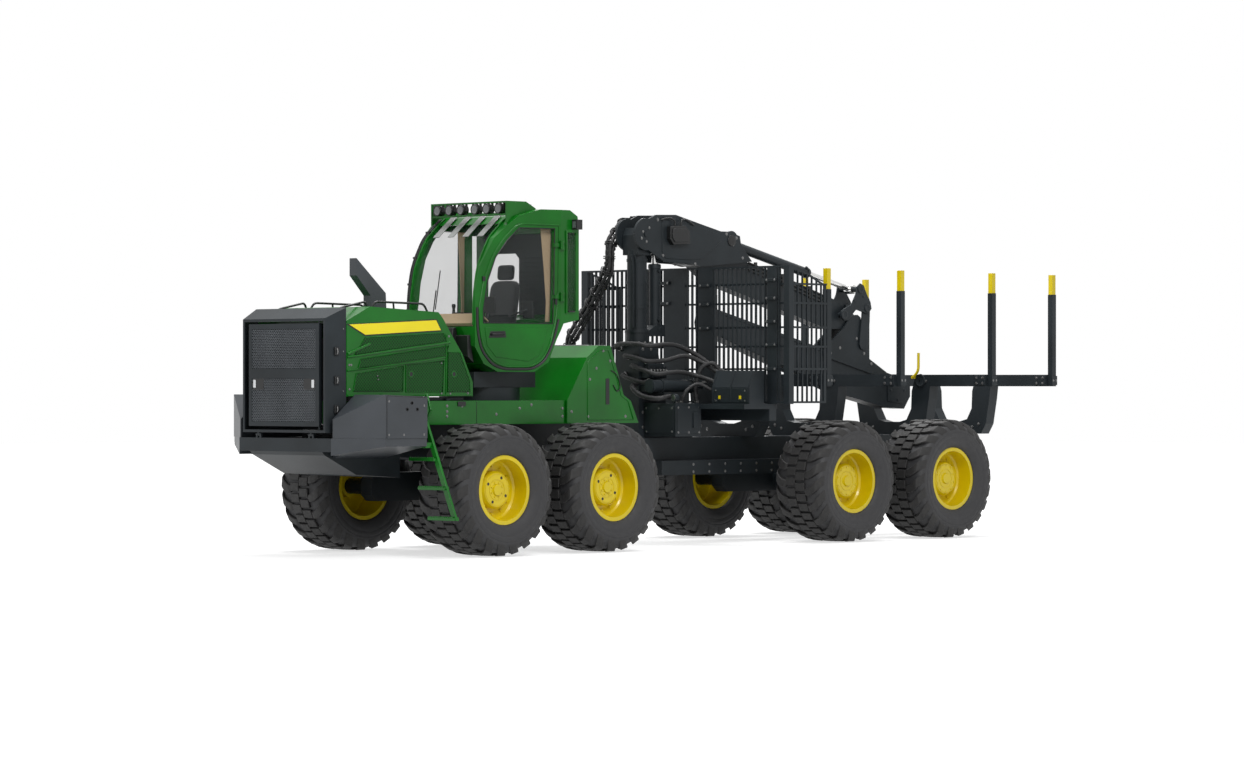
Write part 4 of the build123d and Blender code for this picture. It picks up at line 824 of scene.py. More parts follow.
def cab_sides():
    """Seals, sills and pillar trims on both sides; bead, panel, handle and hinges of the door."""
    for side, name in SIDES:
        body = "door" if side > 0 else "cab"
        seal = Shape()
        seal.tube(at_y(0.001, PANE_EDGE), 0.007, 8, closed=True)
        on_wall(seal, side).piece("pane_seal_" + name, BLACK, body, "dark_plastic")
        sill = Shape()
        sill.tube(rounded(at_y(-0.002, SILL), 0.12), 0.017, 8)
        on_wall(sill, side).piece("cab_sill_" + name, BLACK, "cab")
        trim = Shape()
        trim.prism([(2.5, 2.66), (2.44, 2.66), (2.43, 3.735), (2.56, 3.735), (2.52, 3.3), (2.49, 2.9)], "y",
            -0.09, -0.078)
        on_wall(trim, side).piece("pillar_trim_" + name, BEIGE, "cab", bevel=0.003)
    frame_tube = Shape()
    frame_tube.tube(rounded(at_y(0.004, [(2.372, 3.78)] + DOOR_EDGE), 0.1), 0.011, 10)
    on_wall(frame_tube).piece("door_bead", GREEN, "door")
    panel = Shape()
    panel.prism([(3.32, 2.59), (3.29, 2.38), (3.18, 2.25), (2.76, 2.2), (2.63, 2.27), (2.56, 2.42),
        (2.52, 2.59)], "y", -0.001, 0.007)
    on_wall(panel).piece("door_panel", GREEN, "door", bevel=0.005)
    dark = Shape()
    dark.prism([(3.27, 2.47), (3.25, 2.545), (3.06, 2.55), (3.05, 2.475)], "y", 0.006, 0.01)
    dark.tube(rounded([(3.245, 0.008, 2.505), (3.235, 0.04, 2.51), (3.085, 0.04, 2.515),
        (3.075, 0.008, 2.515)], 0.02), 0.01, 8)
    dark.box(3.318, 3.352, -0.001, 0.02, 3.12, 3.175)
    dark.box(2.395, 2.425, -0.001, 0.018, 2.86, 2.93)
    on_wall(dark).piece("door_handle", BLACK, "door", "dark_plastic", bevel=0.003)


cab_sides()


def cab_front():
    """Slats, sill, pipes, wiper and box at the windscreen; antenna, bars, controls and a rear blind of
    painted shade.
    """
    slats = Shape()
    line = [(2.9, 3.884), (3.045, 3.766), (3.19, 3.641)]
    outline = line + [(x + 0.0065, z + 0.0076) for x, z in reversed(line)]
    for y in (-0.375, -0.125, 0.125, 0.375):
        slats.prism(outline, "y", y - 0.05, y + 0.05)
    slats.piece("screen_slats", SLAT, "cab", bevel=0.003)
    sill = Shape()
    sill.prism([(3.395, 2.604), (3.412, 2.64), (3.29, 2.755), (3.165, 2.665), (3.175, 2.65), (3.288, 2.732)],
        "y", -0.5, 0.5)
    sill.prism([(3.345, 2.62), (3.385, 2.62), (3.385, 2.66), (3.345, 2.7)], "y", -0.52, -0.38)
    sill.piece("screen_sill", BEIGE, "cab", bevel=0.004)
    pipes = Shape()
    front = [(3.458, 2.7), (3.458, 2.94), (3.404, 3.3), (3.222, 3.64), (3.06, 3.782), (2.945, 3.868)]
    for y in (-0.575, -0.548):
        pipes.tube(rounded(at_y(y, front), 0.15), 0.009, 8)
    for x, z in ((3.455, 2.8), (3.436, 3.1), (3.35, 3.41), (3.15, 3.71)):
        pipes.box(x - 0.022, x + 0.01, -0.592, -0.532, z - 0.012, z + 0.012)
    pipes.tube([(3.492, -0.12, 2.62), (3.488, -0.05, 3.02)], 0.007, 8)
    pipes.tube([(3.482, -0.07, 2.8), (3.44, -0.03, 3.25)], 0.006, 8)
    pipes.lathe([(-0.02, 0.02), (0.01, 0.02), (0.014, 0.012)], (3.482, -0.12, 2.6), (1, 0, 0), 16)
    pipes.piece("screen_pipes", BLACK, "cab", "dark_plastic")
    housing = Shape()
    housing.prism([(3.494, 2.59), (3.548, 2.585), (3.575, 2.33), (3.49, 2.19), (3.352, 2.155),
        (3.456, 2.382)], "y", -0.3, 0.3)
    housing.prism([(3.5, 2.5), (3.5, 2.25), (3.4, 2.18), (3.445, 2.4), (3.455, 2.5)], "y", -0.5, 0.5)
    housing.piece("screen_box", BLACK, "cab", bevel=0.008)
    antenna = Shape()
    antenna.lathe([(0.0, 0.016), (0.03, 0.012), (0.032, 0.004), (0.085, 0.003)], (2.305, 0.3, 3.958),
        (0, 0, 1), 14)
    antenna.box(2.14, 2.24, 0.851, 0.87, 2.775, 2.79)
    antenna.piece("antenna", BLACK, "cab", "dark_plastic")
    bars = Shape()
    front = [(3.452, 2.62), (3.452, 2.9), (3.388, 3.305), (3.205, 3.632), (3.045, 3.77), (2.905, 3.88)]
    for side in (-1, 1):
        bars.tube(at_y(side * 0.852, [(2.262, 2.76), (2.262, 3.72)]), 0.012, 10)
        bars.tube(rounded(at_y(side * 0.535, front), 0.15), 0.01, 10)
    bars.piece("cab_bars", GREEN, "cab")
    inside = Shape()
    inside.box(2.985, 3.01, 0.235, 0.425, 2.76, 2.95)
    inside.tube([(3.0, 0.33, 2.76), (3.06, 0.33, 2.66), (3.14, 0.31, 2.62)], 0.01, 8)
    for side in (-1, 1):
        inside.lathe([(0.0, 0.03), (0.02, 0.02), (0.1, 0.016), (0.13, 0.026), (0.155, 0.018)],
            (2.99, side * 0.29, 2.72), (0, 0, 1), 16)
        inside.box(2.7, 2.92, side * 0.25, side * 0.33, 2.7205, 2.745)
    inside.box(2.575, 2.6, 0.47, 0.64, 2.7, 2.9)
    inside.tube([(2.6, 0.55, 2.8), (2.64, 0.5, 2.78), (2.66, 0.33, 2.74)], 0.012, 8)
    inside.box(2.575, 2.9, -0.42, -0.34, 2.66, 2.78)
    inside.piece("cab_controls", BLACK, "cab", "dark_plastic", bevel=0.005)
    # Dark slatted sheet behind the seat, sized to fill the view through the door window: painted shade of the
    # dim cab.
    blind = Shape()
    blind.prism([(-0.1, 2.755), (0.7, 2.755), (0.7, 3.705), (-0.7, 3.705), (-0.7, 3.48), (-0.16, 3.48),
        (-0.1, 3.42)], "x", 2.113, 2.119)
    for i in range(12):
        z = 2.84 + i * 0.052
        blind.box(2.118, 2.122, -0.09, 0.65, z, z + 0.012)
    blind.piece("rear_shade_blind", PLASTIC, "cab", bevel=0.002)


cab_front()


def lamp_faces():
    """Lenses, bezels and clamps of the work lamps."""
    glass, bezel = Shape(), Shape()
    for y in (-0.52, -0.32, -0.12, 0.12, 0.32, 0.52):
        c = (3.045, y, 3.9657)
        bezel.lathe([(-0.006, 0.0595), (0.004, 0.0595), (0.006, 0.056), (0.004, 0.05), (-0.006, 0.05)], c,
            (1, 0, 0), 28)
        glass.lathe([(-0.004, 0.05), (0.0, 0.05), (0.002, 0.046), (0.002, 0.022)], c, (1, 0, 0), 28)
        for k in (-1, 1):
            bezel.box(2.985, 3.02, y + k * 0.0595, y + k * 0.066, 3.95, 4.03)
    for side in (-1, 1):
        bezel.box(2.168, 2.176, side * 0.856, side * 0.926, 3.742, 3.843)
        glass.box(2.175, 2.179, side * 0.866, side * 0.916, 3.755, 3.83)
    bezel.piece("lamp_bezels", BLACK, "cab", "dark_plastic")
    glass.piece("lamp_glass", LENS, "cab")


lamp_faces()


# Crane

COLUMN_X = 0.24
# Pins of the crane's cylinders as (x, z)
LIFT_FOOT, LIFT_EYE = (-0.065, 2.6), (-0.063, 3.57)
JIB_FOOT, JIB_EYE = (-1.25, 3.71), (-3.64, 3.15)


def collar(inner, outer, width):
    """Profile of a square ring round a bar."""
    return [(0.0, inner), (0.0, outer), (width, outer), (width, inner)]


def crane_head():
    """Cheek plates, bolts, valve box and pipes on the boom; rings, pipes and bolts on the column."""
    plates, bolts, dark = Shape(), Shape(), Shape()
    for side in (-1, 1):
        y = side * 0.17
        plates.prism([(-0.02, 3.945), (-0.26, 3.955), (-0.68, 3.86), (-1.02, 3.785), (-1.06, 3.7),
            (-0.72, 3.47), (-0.52, 3.455), (-0.08, 3.465), (-0.02, 3.55)], "y", y - side * 0.001,
            y + side * 0.006)
        bolts_on(bolts, "y", y, [(0.306, 3.781), (0.248, 3.662), (0.2, 3.83), (0.33, 3.7)], 0.012, 0.009)
        bolts_on(bolts, "y", y, [(-1.338, 3.745), (-1.158, 3.79), (-1.278, 3.66), (-1.45, 3.5), (-0.6, 3.41),
            (-0.04, 3.5), (0.05, 3.93)], 0.013, 0.009)
        dark.lathe([(-0.001, 0.07), (0.01, 0.07), (0.014, 0.055), (0.014, 0.03)],
            (JIB_FOOT[0], y, JIB_FOOT[1]), (0, side, 0), 28)
    plates.piece("head_plates", DARK, "lift_boom", bevel=0.003)
    bolts.piece("head_bolts", STEEL, "lift_boom")
    dark.prism([(-0.1, 3.855), (-0.355, 3.868), (-0.435, 3.8), (-0.445, 3.65), (-0.16, 3.63), (-0.095, 3.7)],
        "y", 0.175, 0.24)
    dark.prism([(-0.13, 3.825), (-0.34, 3.836), (-0.4, 3.785), (-0.405, 3.68), (-0.17, 3.662),
        (-0.125, 3.72)], "y", 0.239, 0.252)
    dark.tube(smooth_path([(-0.2, 0.215, 3.855), (-0.19, 0.215, 3.925), (-0.1, 0.205, 3.955),
        (0.02, 0.195, 3.93)], 6), 0.011, 8)
    dark.tube(smooth_path([(-0.3, 0.215, 3.86), (-0.32, 0.215, 3.935), (-0.42, 0.2, 3.94),
        (-0.56, 0.19, 3.88)], 6), 0.011, 8)
    for dz in (0.0, 0.045, 0.09):
        line = [(-1.62, 3.36 + dz), (-2.4, 3.15 + dz), (-3.12, 2.94 + dz)]
        for side in (-1, 1):
            dark.tube(rounded(at_y(side * 0.108, line), 0.2), 0.011, 8)
    for x, z in ((-1.75, 3.37), (-2.25, 3.235), (-2.75, 3.092)):
        for side in (-1, 1):
            dark.box(x - 0.02, x + 0.02, side * 0.094, side * 0.122, z - 0.065, z + 0.085)
    dark.piece("boom_lines", BLACK, "lift_boom", bevel=0.003)
    cap = Shape()
    bands = [(2.42, [(-0.002, 0.2), (0.02, 0.2), (0.022, 0.15)]), (2.56, collar(0.1385, 0.15, 0.022))]
    bands += [(z, collar(0.1195, 0.127, 0.035)) for z in (2.85, 3.15, 3.42)]
    for z, profile in bands:
        cap.lathe(profile, (COLUMN_X, 0, z), (0, 0, 1), 48)
    for y in (0.06, 0.092):
        x = COLUMN_X + math.sqrt(0.136 ** 2 - y ** 2)
        cap.tube(rounded([(x, y, 2.62), (x, y, 3.4), (x + 0.03, y, 3.5)], 0.05), 0.011, 8)
    cap.piece("column_fittings", DARK, "rear_body")
    flange = Shape()
    for i in range(14):
        turn = 2 * math.pi * i / 14
        flange.bolt((COLUMN_X + 0.177 * math.cos(turn), 0.177 * math.sin(turn), 2.44), (0, 0, 1), 0.014,
            0.014)
    flange.piece("column_bolts", STEEL, "rear_body")


crane_head()


def cylinder_fittings():
    """Glands and ports of the lift and jib cylinders."""
    for name, body, foot, eye, r, reach in (("lift", "lift_tube", LIFT_FOOT, LIFT_EYE, 0.07, 0.795),
            ("jib", "jib_tube", JIB_FOOT, JIB_EYE, 0.06, 1.62)):
        start = Vector((foot[0], 0, foot[1]))
        axis = (Vector((eye[0], 0, eye[1])) - start).normalized()
        up = axis.orthogonal().normalized() if name == "jib" else Vector((0, 1, 0))
        if up.z < 0:
            up = -up
        fit = Shape()
        fit.lathe([(-0.05, r - 0.001), (-0.05, r + 0.009), (-0.012, r + 0.009), (0.0, r + 0.004),
            (0.006, r - 0.01)], start + axis * reach, axis, 36)
        for d in (reach - 0.08, 0.12):
            fit.lathe([(0.0, 0.022), (r + 0.02, 0.022), (r + 0.024, 0.014)], start + axis * d, up, 14)
        fit.piece(name + "_gland", DARK, body)


cylinder_fittings()


def jib_fittings():
    """Ribs, bolts and pin caps of the jib and its rocker."""
    bolts, caps = Shape(), Shape()
    for side in (-1, 1):
        y = side * 0.13
        bolts_on(bolts, "y", y, [(-3.76, 2.33), (-3.9, 2.2), (-3.3, 2.4), (-3.12, 2.33), (-3.62, 2.52)],
            0.014, 0.01)
    bolts.piece("jib_bolts", STEEL, "jib_arm")
    ribs = Shape()
    for side in (-1, 1):
        y = side * 0.105
        ribs.prism([(-4.62, 1.79), (-4.62, 1.93), (-4.32, 2.03), (-4.24, 1.99), (-4.24, 1.72), (-4.54, 1.68)],
            "y", y - side * 0.001, y + side * 0.012)
        ribs.tube([(-1.2, y, 2.79), (-2.95, y, 2.365)], 0.01, 8)
        ribs.tube([(-1.15, y, 2.52), (-3.35, y, 1.835)], 0.01, 8)
        bolts_on(ribs, "y", y + side * 0.012, [(-4.56, 1.86), (-4.3, 1.86), (-4.43, 1.74), (-4.43, 1.96)],
            0.016, 0.01)
    ribs.piece("jib_ribs", DARK, "jib_arm", bevel=0.002)
    for side in (-1, 1):
        caps.lathe([(-0.001, 0.062), (0.01, 0.062), (0.013, 0.045), (0.007, 0.035), (0.007, 0.01)],
            (-3.33, side * 0.176, 2.82), (0, side, 0), 28)
    caps.piece("rocker_pivots", DARK, "lift_boom")
    ends = Shape()
    for side in (-1, 1):
        for x, z in ((-3.77, 2.91), JIB_EYE):
            ends.lathe([(-0.001, 0.052), (0.009, 0.052), (0.012, 0.04), (0.006, 0.03), (0.006, 0.008)],
                (x, side * 0.176, z), (0, side, 0), 28)
        bolts_on(ends, "y", side * 0.176, [(-3.7, 3.06), (-3.52, 3.0)], 0.013, 0.009)
    ends.piece("rocker_pins", DARK, "rocker")


jib_fittings()


# Hose bundle and hoses

HOSE_ROUTE = [(0.0103, 3.85), (0.175, 3.85), (0.425, 3.6), (0.435, 3.29)]
HOSE_LOW = [(0.4, -0.64, 2.78), (0.35, -1.0, 2.43), (0.32, -1.06, 2.15), (0.27, -0.96, 1.9),
    (0.27, -0.6403, 1.9)]


def bundle_sleeves():
    """Short sleeves along each hose of the crane's bundle, and straps round all five."""
    sleeves = Shape()
    pitch = 0.046
    paths = []
    for across, up in ((0, 0), (1, 0), (0, 1), (1, 1), (2, 0)):
        dx, dy, dz = up * pitch, -across * pitch, (across + up) * pitch
        y = -0.229 + dy
        points = [(x + (dx if i else 0), y, z + dz) for i, (x, z) in enumerate(HOSE_ROUTE)]
        points += [(x + dx, py + (dy if i < 4 else 0), z + dz) for i, (x, py, z) in enumerate(HOSE_LOW)]
        path = rounded(points, 0.13, 8)
        paths.append(path)
        for k in range(2, len(path) - 2, 2):
            start, run = path[k], path[k + 1] - path[k]
            if run.length < 0.012:
                continue
            step = run.normalized()
            length = min(0.075, run.length)
            spans = max(1, int(run.length / 0.105))
            for m in range(spans):
                foot = start + run * ((m + 0.5) / spans) - step * length / 2
                sleeves.lathe([(0.0, 0.0212), (0.004, 0.0245), (length - 0.004, 0.0245), (length, 0.0212)],
                    foot, step, 14)
    sleeves.piece("hose_sleeves", BLACK, "rear_body", "dark_plastic")
    straps = Shape()
    lead = paths[0]
    travel = 0.0
    for k in range(len(lead) - 1):
        span = (lead[k + 1] - lead[k]).length
        while travel < span:
            t = travel / span
            spots = [path[k] * (1 - t) + path[k + 1] * t for path in paths]
            centre = sum(spots, Vector()) / len(spots)
            forward = (lead[k + 1] - lead[k]).normalized()
            side = forward.orthogonal().normalized()
            other = forward.cross(side)
            loop = []
            for j in range(28):
                turn = 2 * math.pi * j / 28
                out = side * math.cos(turn) + other * math.sin(turn)
                loop.append(centre + out * (max((spot - centre).dot(out) for spot in spots) + 0.029))
            for shift in (-0.012, 0.012):
                straps.tube([q + forward * shift for q in loop], 0.007, 6, closed=True)
            travel += 0.17
        travel -= span
    straps.piece("hose_straps", BLACK, "rear_body", "dark_plastic")


bundle_sleeves()

NEAR_HOSES = [
    # radius, points
    (0.027, [(0.405, -0.1, 2.36), (0.52, -0.08, 2.4), (0.55, 0.08, 2.425), (0.52, 0.3, 2.42),
        (0.42, 0.4, 2.4), (0.05, 0.42, 2.415), (-0.24, 0.5, 2.31), (-0.37, 0.7, 2.15),
        (-0.35, 0.94, 2.07)]),
    (0.027, [(0.405, 0.04, 2.26), (0.53, 0.08, 2.28), (0.53, 0.24, 2.26), (0.46, 0.4, 2.215),
        (0.2, 0.44, 2.225), (-0.08, 0.5, 2.28), (-0.28, 0.62, 2.19), (-0.32, 0.9, 2.04)]),
    (0.027, [(0.405, 0.12, 2.15), (0.5, 0.18, 2.16), (0.5, 0.36, 2.11), (0.42, 0.52, 2.06),
        (0.1, 0.56, 2.085), (-0.16, 0.62, 2.04), (-0.22, 0.89, 1.96)]),
    (0.03, [(0.385, 0.16, 1.96), (0.52, 0.2, 1.9), (0.52, 0.36, 1.8), (0.46, 0.56, 1.765),
        (0.28, 0.6, 1.79), (0.16, 0.58, 1.76), (0.14, 0.56, 1.705)]),
    (0.024, [(-0.18, 0.6, 1.7), (-0.16, 0.6, 1.9), (-0.2, 0.66, 2.13), (-0.3, 0.76, 2.19),
        (-0.36, 0.84, 2.06), (-0.34, 0.9, 1.96)]),
    (0.024, [(0.405, -0.02, 2.06), (0.5, 0.02, 2.04), (0.5, 0.22, 1.985), (0.47, 0.34, 1.96),
        (0.42, 0.4, 1.985)]),
    (0.02, [(0.1, 0.6, 1.7), (0.06, 0.66, 1.86), (-0.1, 0.7, 1.94), (-0.2, 0.8, 1.88),
        (-0.22, 0.89, 1.84)]),
]


def near_hoses():
    """Loose hoses with their clips and ends, and the small bank of valves beside the column."""
    hoses, ends = Shape(), Shape()
    for r, points in NEAR_HOSES:
        path = smooth_path(points, 7)
        hoses.tube(path, r, 12)
        for k in range(3, len(path) - 4, 3):
            hoses.lathe([(0.0, r), (0.003, r + 0.003), (0.022, r + 0.003), (0.025, r)], path[k],
                path[k + 1] - path[k], 12)
        for a, b in ((path[0], path[1]), (path[-1], path[-2])):
            ends.lathe([(0.0, r + 0.006), (0.03, r + 0.006), (0.036, r + 0.001)], a, b - a, 6)
    bank = Shape()
    bank.box(0.06, 0.38, 0.215, 0.33, 2.01, 2.15)
    bank.box(0.09, 0.35, 0.235, 0.31, 2.149, 2.185)
    for i in range(6):
        x = 0.085 + i * 0.053
        bank.box(x, x + 0.04, 0.329, 0.352, 2.025, 2.135)
        ends.lathe([(0.0, 0.016), (0.03, 0.016), (0.034, 0.01)], (x + 0.02, 0.351, 2.105), (0, 1, 0), 6)
        ends.lathe([(0.0, 0.012), (0.045, 0.012), (0.049, 0.006)], (x + 0.02, 0.351, 2.055), (0, 1, 0), 12)
        ends.lathe([(0.0, 0.011), (0.028, 0.011), (0.032, 0.006)], (x + 0.02, 0.272, 2.184), (0, 0, 1), 12)
    bank.piece("valve_bank", DARK, "rear_body", bevel=0.003)
    hoses.piece("near_hoses", HOSE, "rear_body")
    ends.piece("hose_ends", STEEL, "rear_body")


near_hoses()


# Rear frame and load space

def rear_fittings():
    """Covers, latches, rings and bolts of the boxes and slewing tubes behind the steering joint."""
    dark, metal, yellow = Shape(), Shape(), Shape()
    dark.prism([(-0.085, 1.345), (0.305, 1.345), (0.305, 1.675), (-0.085, 1.675)], "y", 0.739, 0.747)
    dark.prism([(-0.03, 1.41), (0.04, 1.41), (0.04, 1.6), (-0.03, 1.6)], "y", 0.746, 0.764)
    dark.prism([(0.225, 1.345), (0.71, 1.345), (0.71, 1.675), (0.225, 1.675)], "x", 0.329, 0.336)
    bolts_on(metal, "y", 0.747, [(-0.07, 1.36), (0.29, 1.36), (0.29, 1.66), (-0.07, 1.66), (0.11, 1.66),
        (0.11, 1.36)], 0.01, 0.008)
    bolts_on(metal, "x", 0.336, [(0.25, 1.37), (0.685, 1.37), (0.685, 1.65), (0.25, 1.65), (0.465, 1.65)],
        0.01, 0.008)
    dark.box(-0.1505, -0.144, 0.92, 1.46, 1.72, 1.885)
    for y in (0.9, 1.19, 1.48):
        dark.prism([(-0.15, 1.9), (-0.23, 2.1), (-0.226, 2.104), (-0.143, 1.9), (-0.143, 1.72),
            (-0.15, 1.72)], "y", y - 0.01, y + 0.01)
    for y in (1.02, 1.36):
        yellow.box(-0.1445, -0.128, y - 0.014, y + 0.014, 1.76, 1.8)
        metal.box(-0.1445, -0.134, y - 0.022, y + 0.022, 1.745, 1.76)
    bolts_on(metal, "x", -0.144, [(0.95, 1.86), (1.43, 1.86), (0.95, 1.74), (1.43, 1.74)], 0.009, 0.008, 1)
    for side in (-1, 1):
        y = side * 0.43
        bolts_on(metal, "y", y, [(-0.3 - i * 0.28, z) for z in (0.965, 0.875) for i in range(6)], 0.012,
            0.009)
        bolts_on(metal, "y", side * 0.2, [(0.34, 1.42), (0.34, 1.6), (0.2, 2.36), (0.34, 2.36), (0.12, 2.2)],
            0.014, 0.01)
        for x in (0.47, 0.3, -0.21):
            dark.lathe(collar(0.0755, 0.086, 0.028), (x - 0.014, side * 0.45, 1.915), (1, 0, 0), 36)
        metal.lathe([(-0.001, 0.03), (0.02, 0.03), (0.024, 0.016)], (-0.47, side * 0.45, 1.953), (0, 0, 1),
            18)
    dark.lathe([(-0.045, 0.03), (-0.04, 0.045), (0.02, 0.05), (0.024, 0.046), (0.02, 0.042)],
        (0.3, 0.69, 1.775), (1, 0, 0), 24)
    dark.box(0.285, 0.305, 0.682, 0.698, 1.705, 1.735)
    dark.piece("rear_boxes", DARK, "rear_body", bevel=0.002)
    metal.lathe([(0.0, 0.04), (0.006, 0.038), (0.01, 0.02)], (0.318, 0.69, 1.775), (1, 0, 0), 24)
    metal.piece("rear_bolts", STEEL, "rear_body")
    yellow.piece("box_latches", YELLOW, "rear_body", bevel=0.002)


rear_fittings()


BUNK_XS = (-1.42, -2.78, -4.54, -5.75)
BUNK_HALF = 0.08
STAKE_Y = 1.6
STAKE_HALF = 0.0325


def load_fittings():
    """Clamps on the headboard; brackets, pins, bolts and lever on the bunks; collars and tops of stakes."""
    dark, metal = Shape(), Shape()
    for y, zs in ((1.49, (3.19, 2.97, 2.69, 2.41, 2.12)), (0.385, (3.14, 2.91, 2.62)), (-0.3, (3.18, 2.93))):
        for z in zs:
            dark.box(-0.5565, -0.53, y - 0.085, y + 0.085, z - 0.02, z + 0.02)
            bolts_on(metal, "x", -0.53, [(y - 0.065, z), (y + 0.065, z)], 0.01, 0.009, 1)
    for x in BUNK_XS:
        for side in (-1, 1):
            for face in (-1, 1):
                if x == BUNK_XS[-1] and face < 0:
                    continue  # this face is the machine's end
                px = x + face * BUNK_HALF
                dark.box(px, px + face * 0.012, side * 1.39, side * 1.56, 1.922, 2.048)
                points = [(side * y, z) for y in (1.42, 1.52) for z in (1.95, 2.02)]
                bolts_on(metal, "x", px + face * 0.012, points, 0.012, 0.01, face)
                bolts_on(metal, "x", px, [(side * 0.47, 1.98), (side * 0.57, 1.98), (side * 0.44, 1.42),
                    (side * 0.33, 1.38)], 0.014, 0.01, face)
            dark.box(x - 0.05, x + 0.05, side * 1.6375, side * 1.648, 1.925, 2.045)
            bolts_on(metal, "y", side * 1.648, [(x - 0.03, 1.985), (x + 0.03, 1.985)], 0.01, 0.008)
            dark.box(x - 0.0385, x + 0.0385, side * (STAKE_Y - 0.0385), side * (STAKE_Y + 0.0385), 3.072,
                3.0905)
    for x in BUNK_XS[1:3]:
        dark.lathe([(0.0, 0.085), (0.012, 0.085), (0.016, 0.07), (0.01, 0.055), (0.01, 0.015)],
            (x + BUNK_HALF, 0.48, 1.985), (1, 0, 0), 36)
    dark.piece("bunk_brackets", DARK, "rear_body", bevel=0.003)
    metal.piece("bunk_bolts", STEEL, "rear_body")
    lever = Shape()
    lever.tube(rounded([(-4.43, 0.38, 2.03), (-4.43, 0.44, 2.075), (-4.43, 0.47, 2.13), (-4.43, 0.472, 2.34)],
        0.04), 0.018, 12)
    lever.box(-4.462, -4.425, 0.35, 0.405, 2.01, 2.045)
    lever.piece("bunk_lever", YELLOW, "rear_body")
    tips = Shape()
    for x in BUNK_XS:
        for side in (-1, 1):
            corners = [(x + a * STAKE_HALF, side * STAKE_Y + b * STAKE_HALF) for a, b in CORNERS]
            tips.prism(corners, "z", 3.3395, 3.344)
    tips.piece("stake_caps", YELLOW, "rear_body", bevel=0.002)


load_fittings()


# Seat

def cushion(name, lo, hi, lean, channels):
    """Soft block between two corners: crowned, drawn in at its sides, leaning back, with sewn channels."""
    rows, columns = 20, 32
    (x0, y0, z0), (x1, y1, z1) = lo, hi
    hx, hy, hz = (x1 - x0) / 2, (y1 - y0) / 2, (z1 - z0) / 2

    def bend(t):
        return math.copysign(abs(t) ** 0.42, t)

    points = []
    for i in range(rows + 1):
        a = -math.pi / 2 + math.pi * i / rows
        for j in range(columns):
            b = 2 * math.pi * j / columns
            ux, uy = bend(math.cos(a)) * bend(math.cos(b)), bend(math.cos(a)) * bend(math.sin(b))
            uz = bend(math.sin(a))
            groove = sum(math.exp(-((uy - c) / 0.05) ** 2) for c in channels) * 0.07
            crowned = (1 - groove) * (1 + 0.1 * (1 - ux * ux) * (1 - uy * uy))
            x = x0 + hx + hx * ux * (1 - 0.05 * (1 - uz * uz) * abs(uy)) * (crowned if hx < hz else 1)
            z = z0 + hz + hz * uz * (crowned if hz <= hx else 1)
            points.append((x + lean * (z - z0), y0 + hy + hy * uy, z))
    shape = Shape()
    shape.add(points, quads(rows + 1, columns, False))
    return shape.piece(name, SEAT, "cab", angle=80)


def driver_seat():
    base = cushion("seat_cushion", (2.53, -0.245, 2.485), (2.975, 0.245, 2.59), 0.0, (-0.62, 0.62))
    back = cushion("seat_back", (2.47, -0.235, 2.575), (2.56, 0.235, 3.15), -0.16, (-0.6, 0.0, 0.6))
    head = cushion("seat_head", (2.4, -0.13, 3.155), (2.46, 0.13, 3.335), -0.08, ())
    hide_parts("seat")


driver_seat()


# Camera, lamps and floor

LAMPS = [
    # name, place, power, size
    ("key", (9.0, 16.0, 15.0), 2100.0, 7.0),
    ("front", (20.0, 2.0, 8.0), 700.0, 7.0),
    ("top", (-1.0, -1.0, 18.0), 3400.0, 11.0),
    ("back", (-14.0, -12.0, 12.0), 900.0, 8.0),
]
LAMP_AIM = Vector((0.0, 0.0, 1.5))
CAMERA_PLACE = (34.699, 34.106, 1.94)
CAMERA_AIM = Vector((-0.708, -0.706, 0.0))
CAMERA_LENS = 115.8
SKY_LIGHT = 0.34
FLOOR_HALF = 70.0


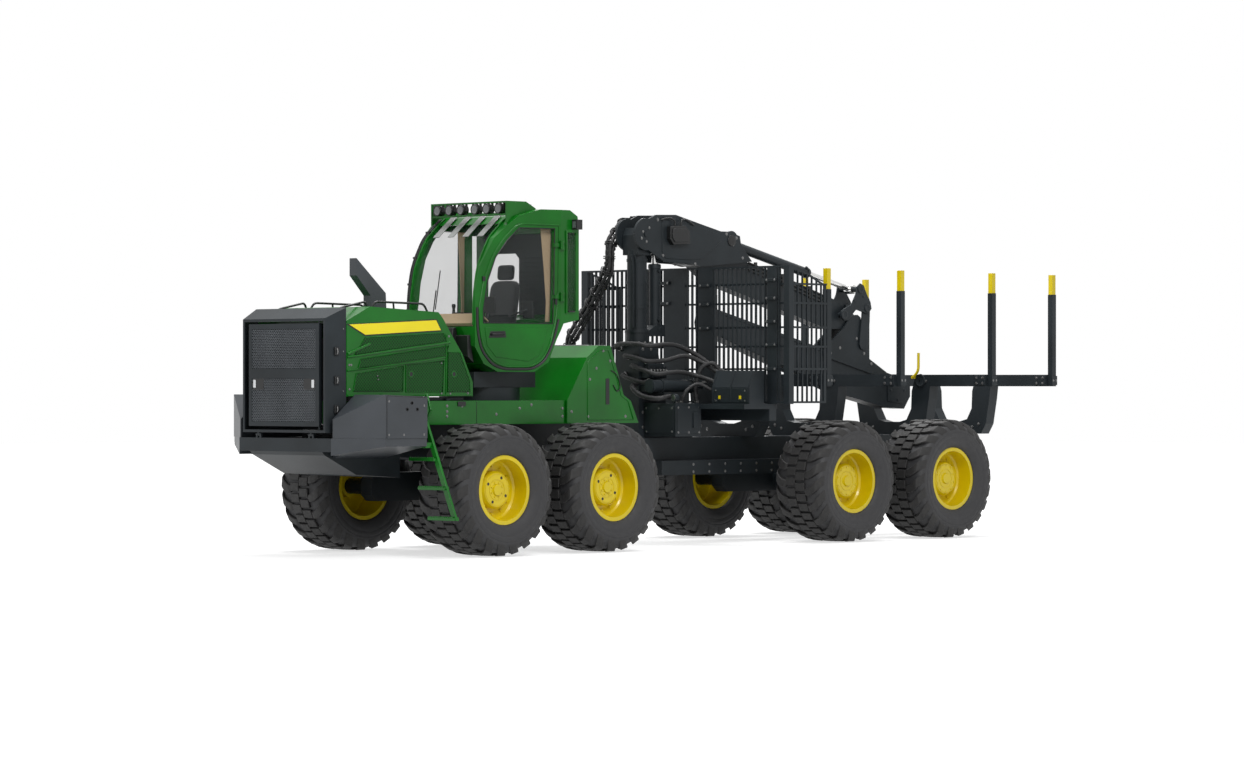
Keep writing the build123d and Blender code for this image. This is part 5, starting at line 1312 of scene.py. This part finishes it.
def place_object(name, data, place, aim):
    """New object at place that looks along aim."""
    obj = bpy.data.objects.new(name, data)
    bpy.context.scene.collection.objects.link(obj)
    obj.location = place
    obj.rotation_euler = aim.to_track_quat("-Z", "Y").to_euler()
    return obj


def floor():
    """Pale floor that keeps the shadow and turns white with distance, for the rays that see it."""
    mat, tree, shader = base_material("pale_floor", 0.9)
    far = add_node(tree, "VectorMath", {0: own_place(tree)})
    far.operation = "LENGTH"
    glow = add_node(tree, "MapRange", {"Value": far.outputs["Value"], "From Min": 5.0, "From Max": 16.0,
        "To Min": 0.62, "To Max": 1.0})
    tone = ramp(tree, noise(tree, 0.6, 2.0), [(0.3, grey(0.48)), (0.7, grey(0.5))])
    shine = maths(tree, "MULTIPLY", glow.outputs["Result"], backdrop_rays(tree))
    feed(tree, shader, {"Base Color": tone, "Emission Color": grey(1.0), "Emission Strength": shine})
    mesh = bpy.data.meshes.new("floor")
    corners = [(x * FLOOR_HALF, y * FLOOR_HALF, 0) for x, y in CORNERS]
    mesh.from_pydata(corners, [], [(0, 1, 2, 3)])
    mesh.materials.append(mat)
    ground = bpy.data.objects.new("floor", mesh)
    bpy.context.scene.collection.objects.link(ground)


def stage():
    """White sky that lights the object dimly, the lamps and the camera."""
    scene = bpy.context.scene
    scene.view_settings.view_transform = "Standard"
    scene.world = bpy.data.worlds.new("studio")
    scene.world.use_nodes = True
    tree = scene.world.node_tree
    sky = add_node(tree, "MapRange", {"Value": backdrop_rays(tree), "To Min": SKY_LIGHT, "To Max": 1.0})
    feed(tree, tree.nodes["Background"], {"Color": grey(1.0), "Strength": sky.outputs["Result"]})
    for name, place, power, size in LAMPS:
        lamp = bpy.data.lights.new(name, "AREA")
        lamp.energy, lamp.shape, lamp.size = power, "DISK", size
        place_object(name, lamp, place, LAMP_AIM - Vector(place))
    camera = bpy.data.cameras.new("camera")
    camera.sensor_width, camera.lens, camera.clip_end = 36.0, CAMERA_LENS, 400.0
    scene.camera = place_object("camera", camera, CAMERA_PLACE, CAMERA_AIM)


floor()
stage()
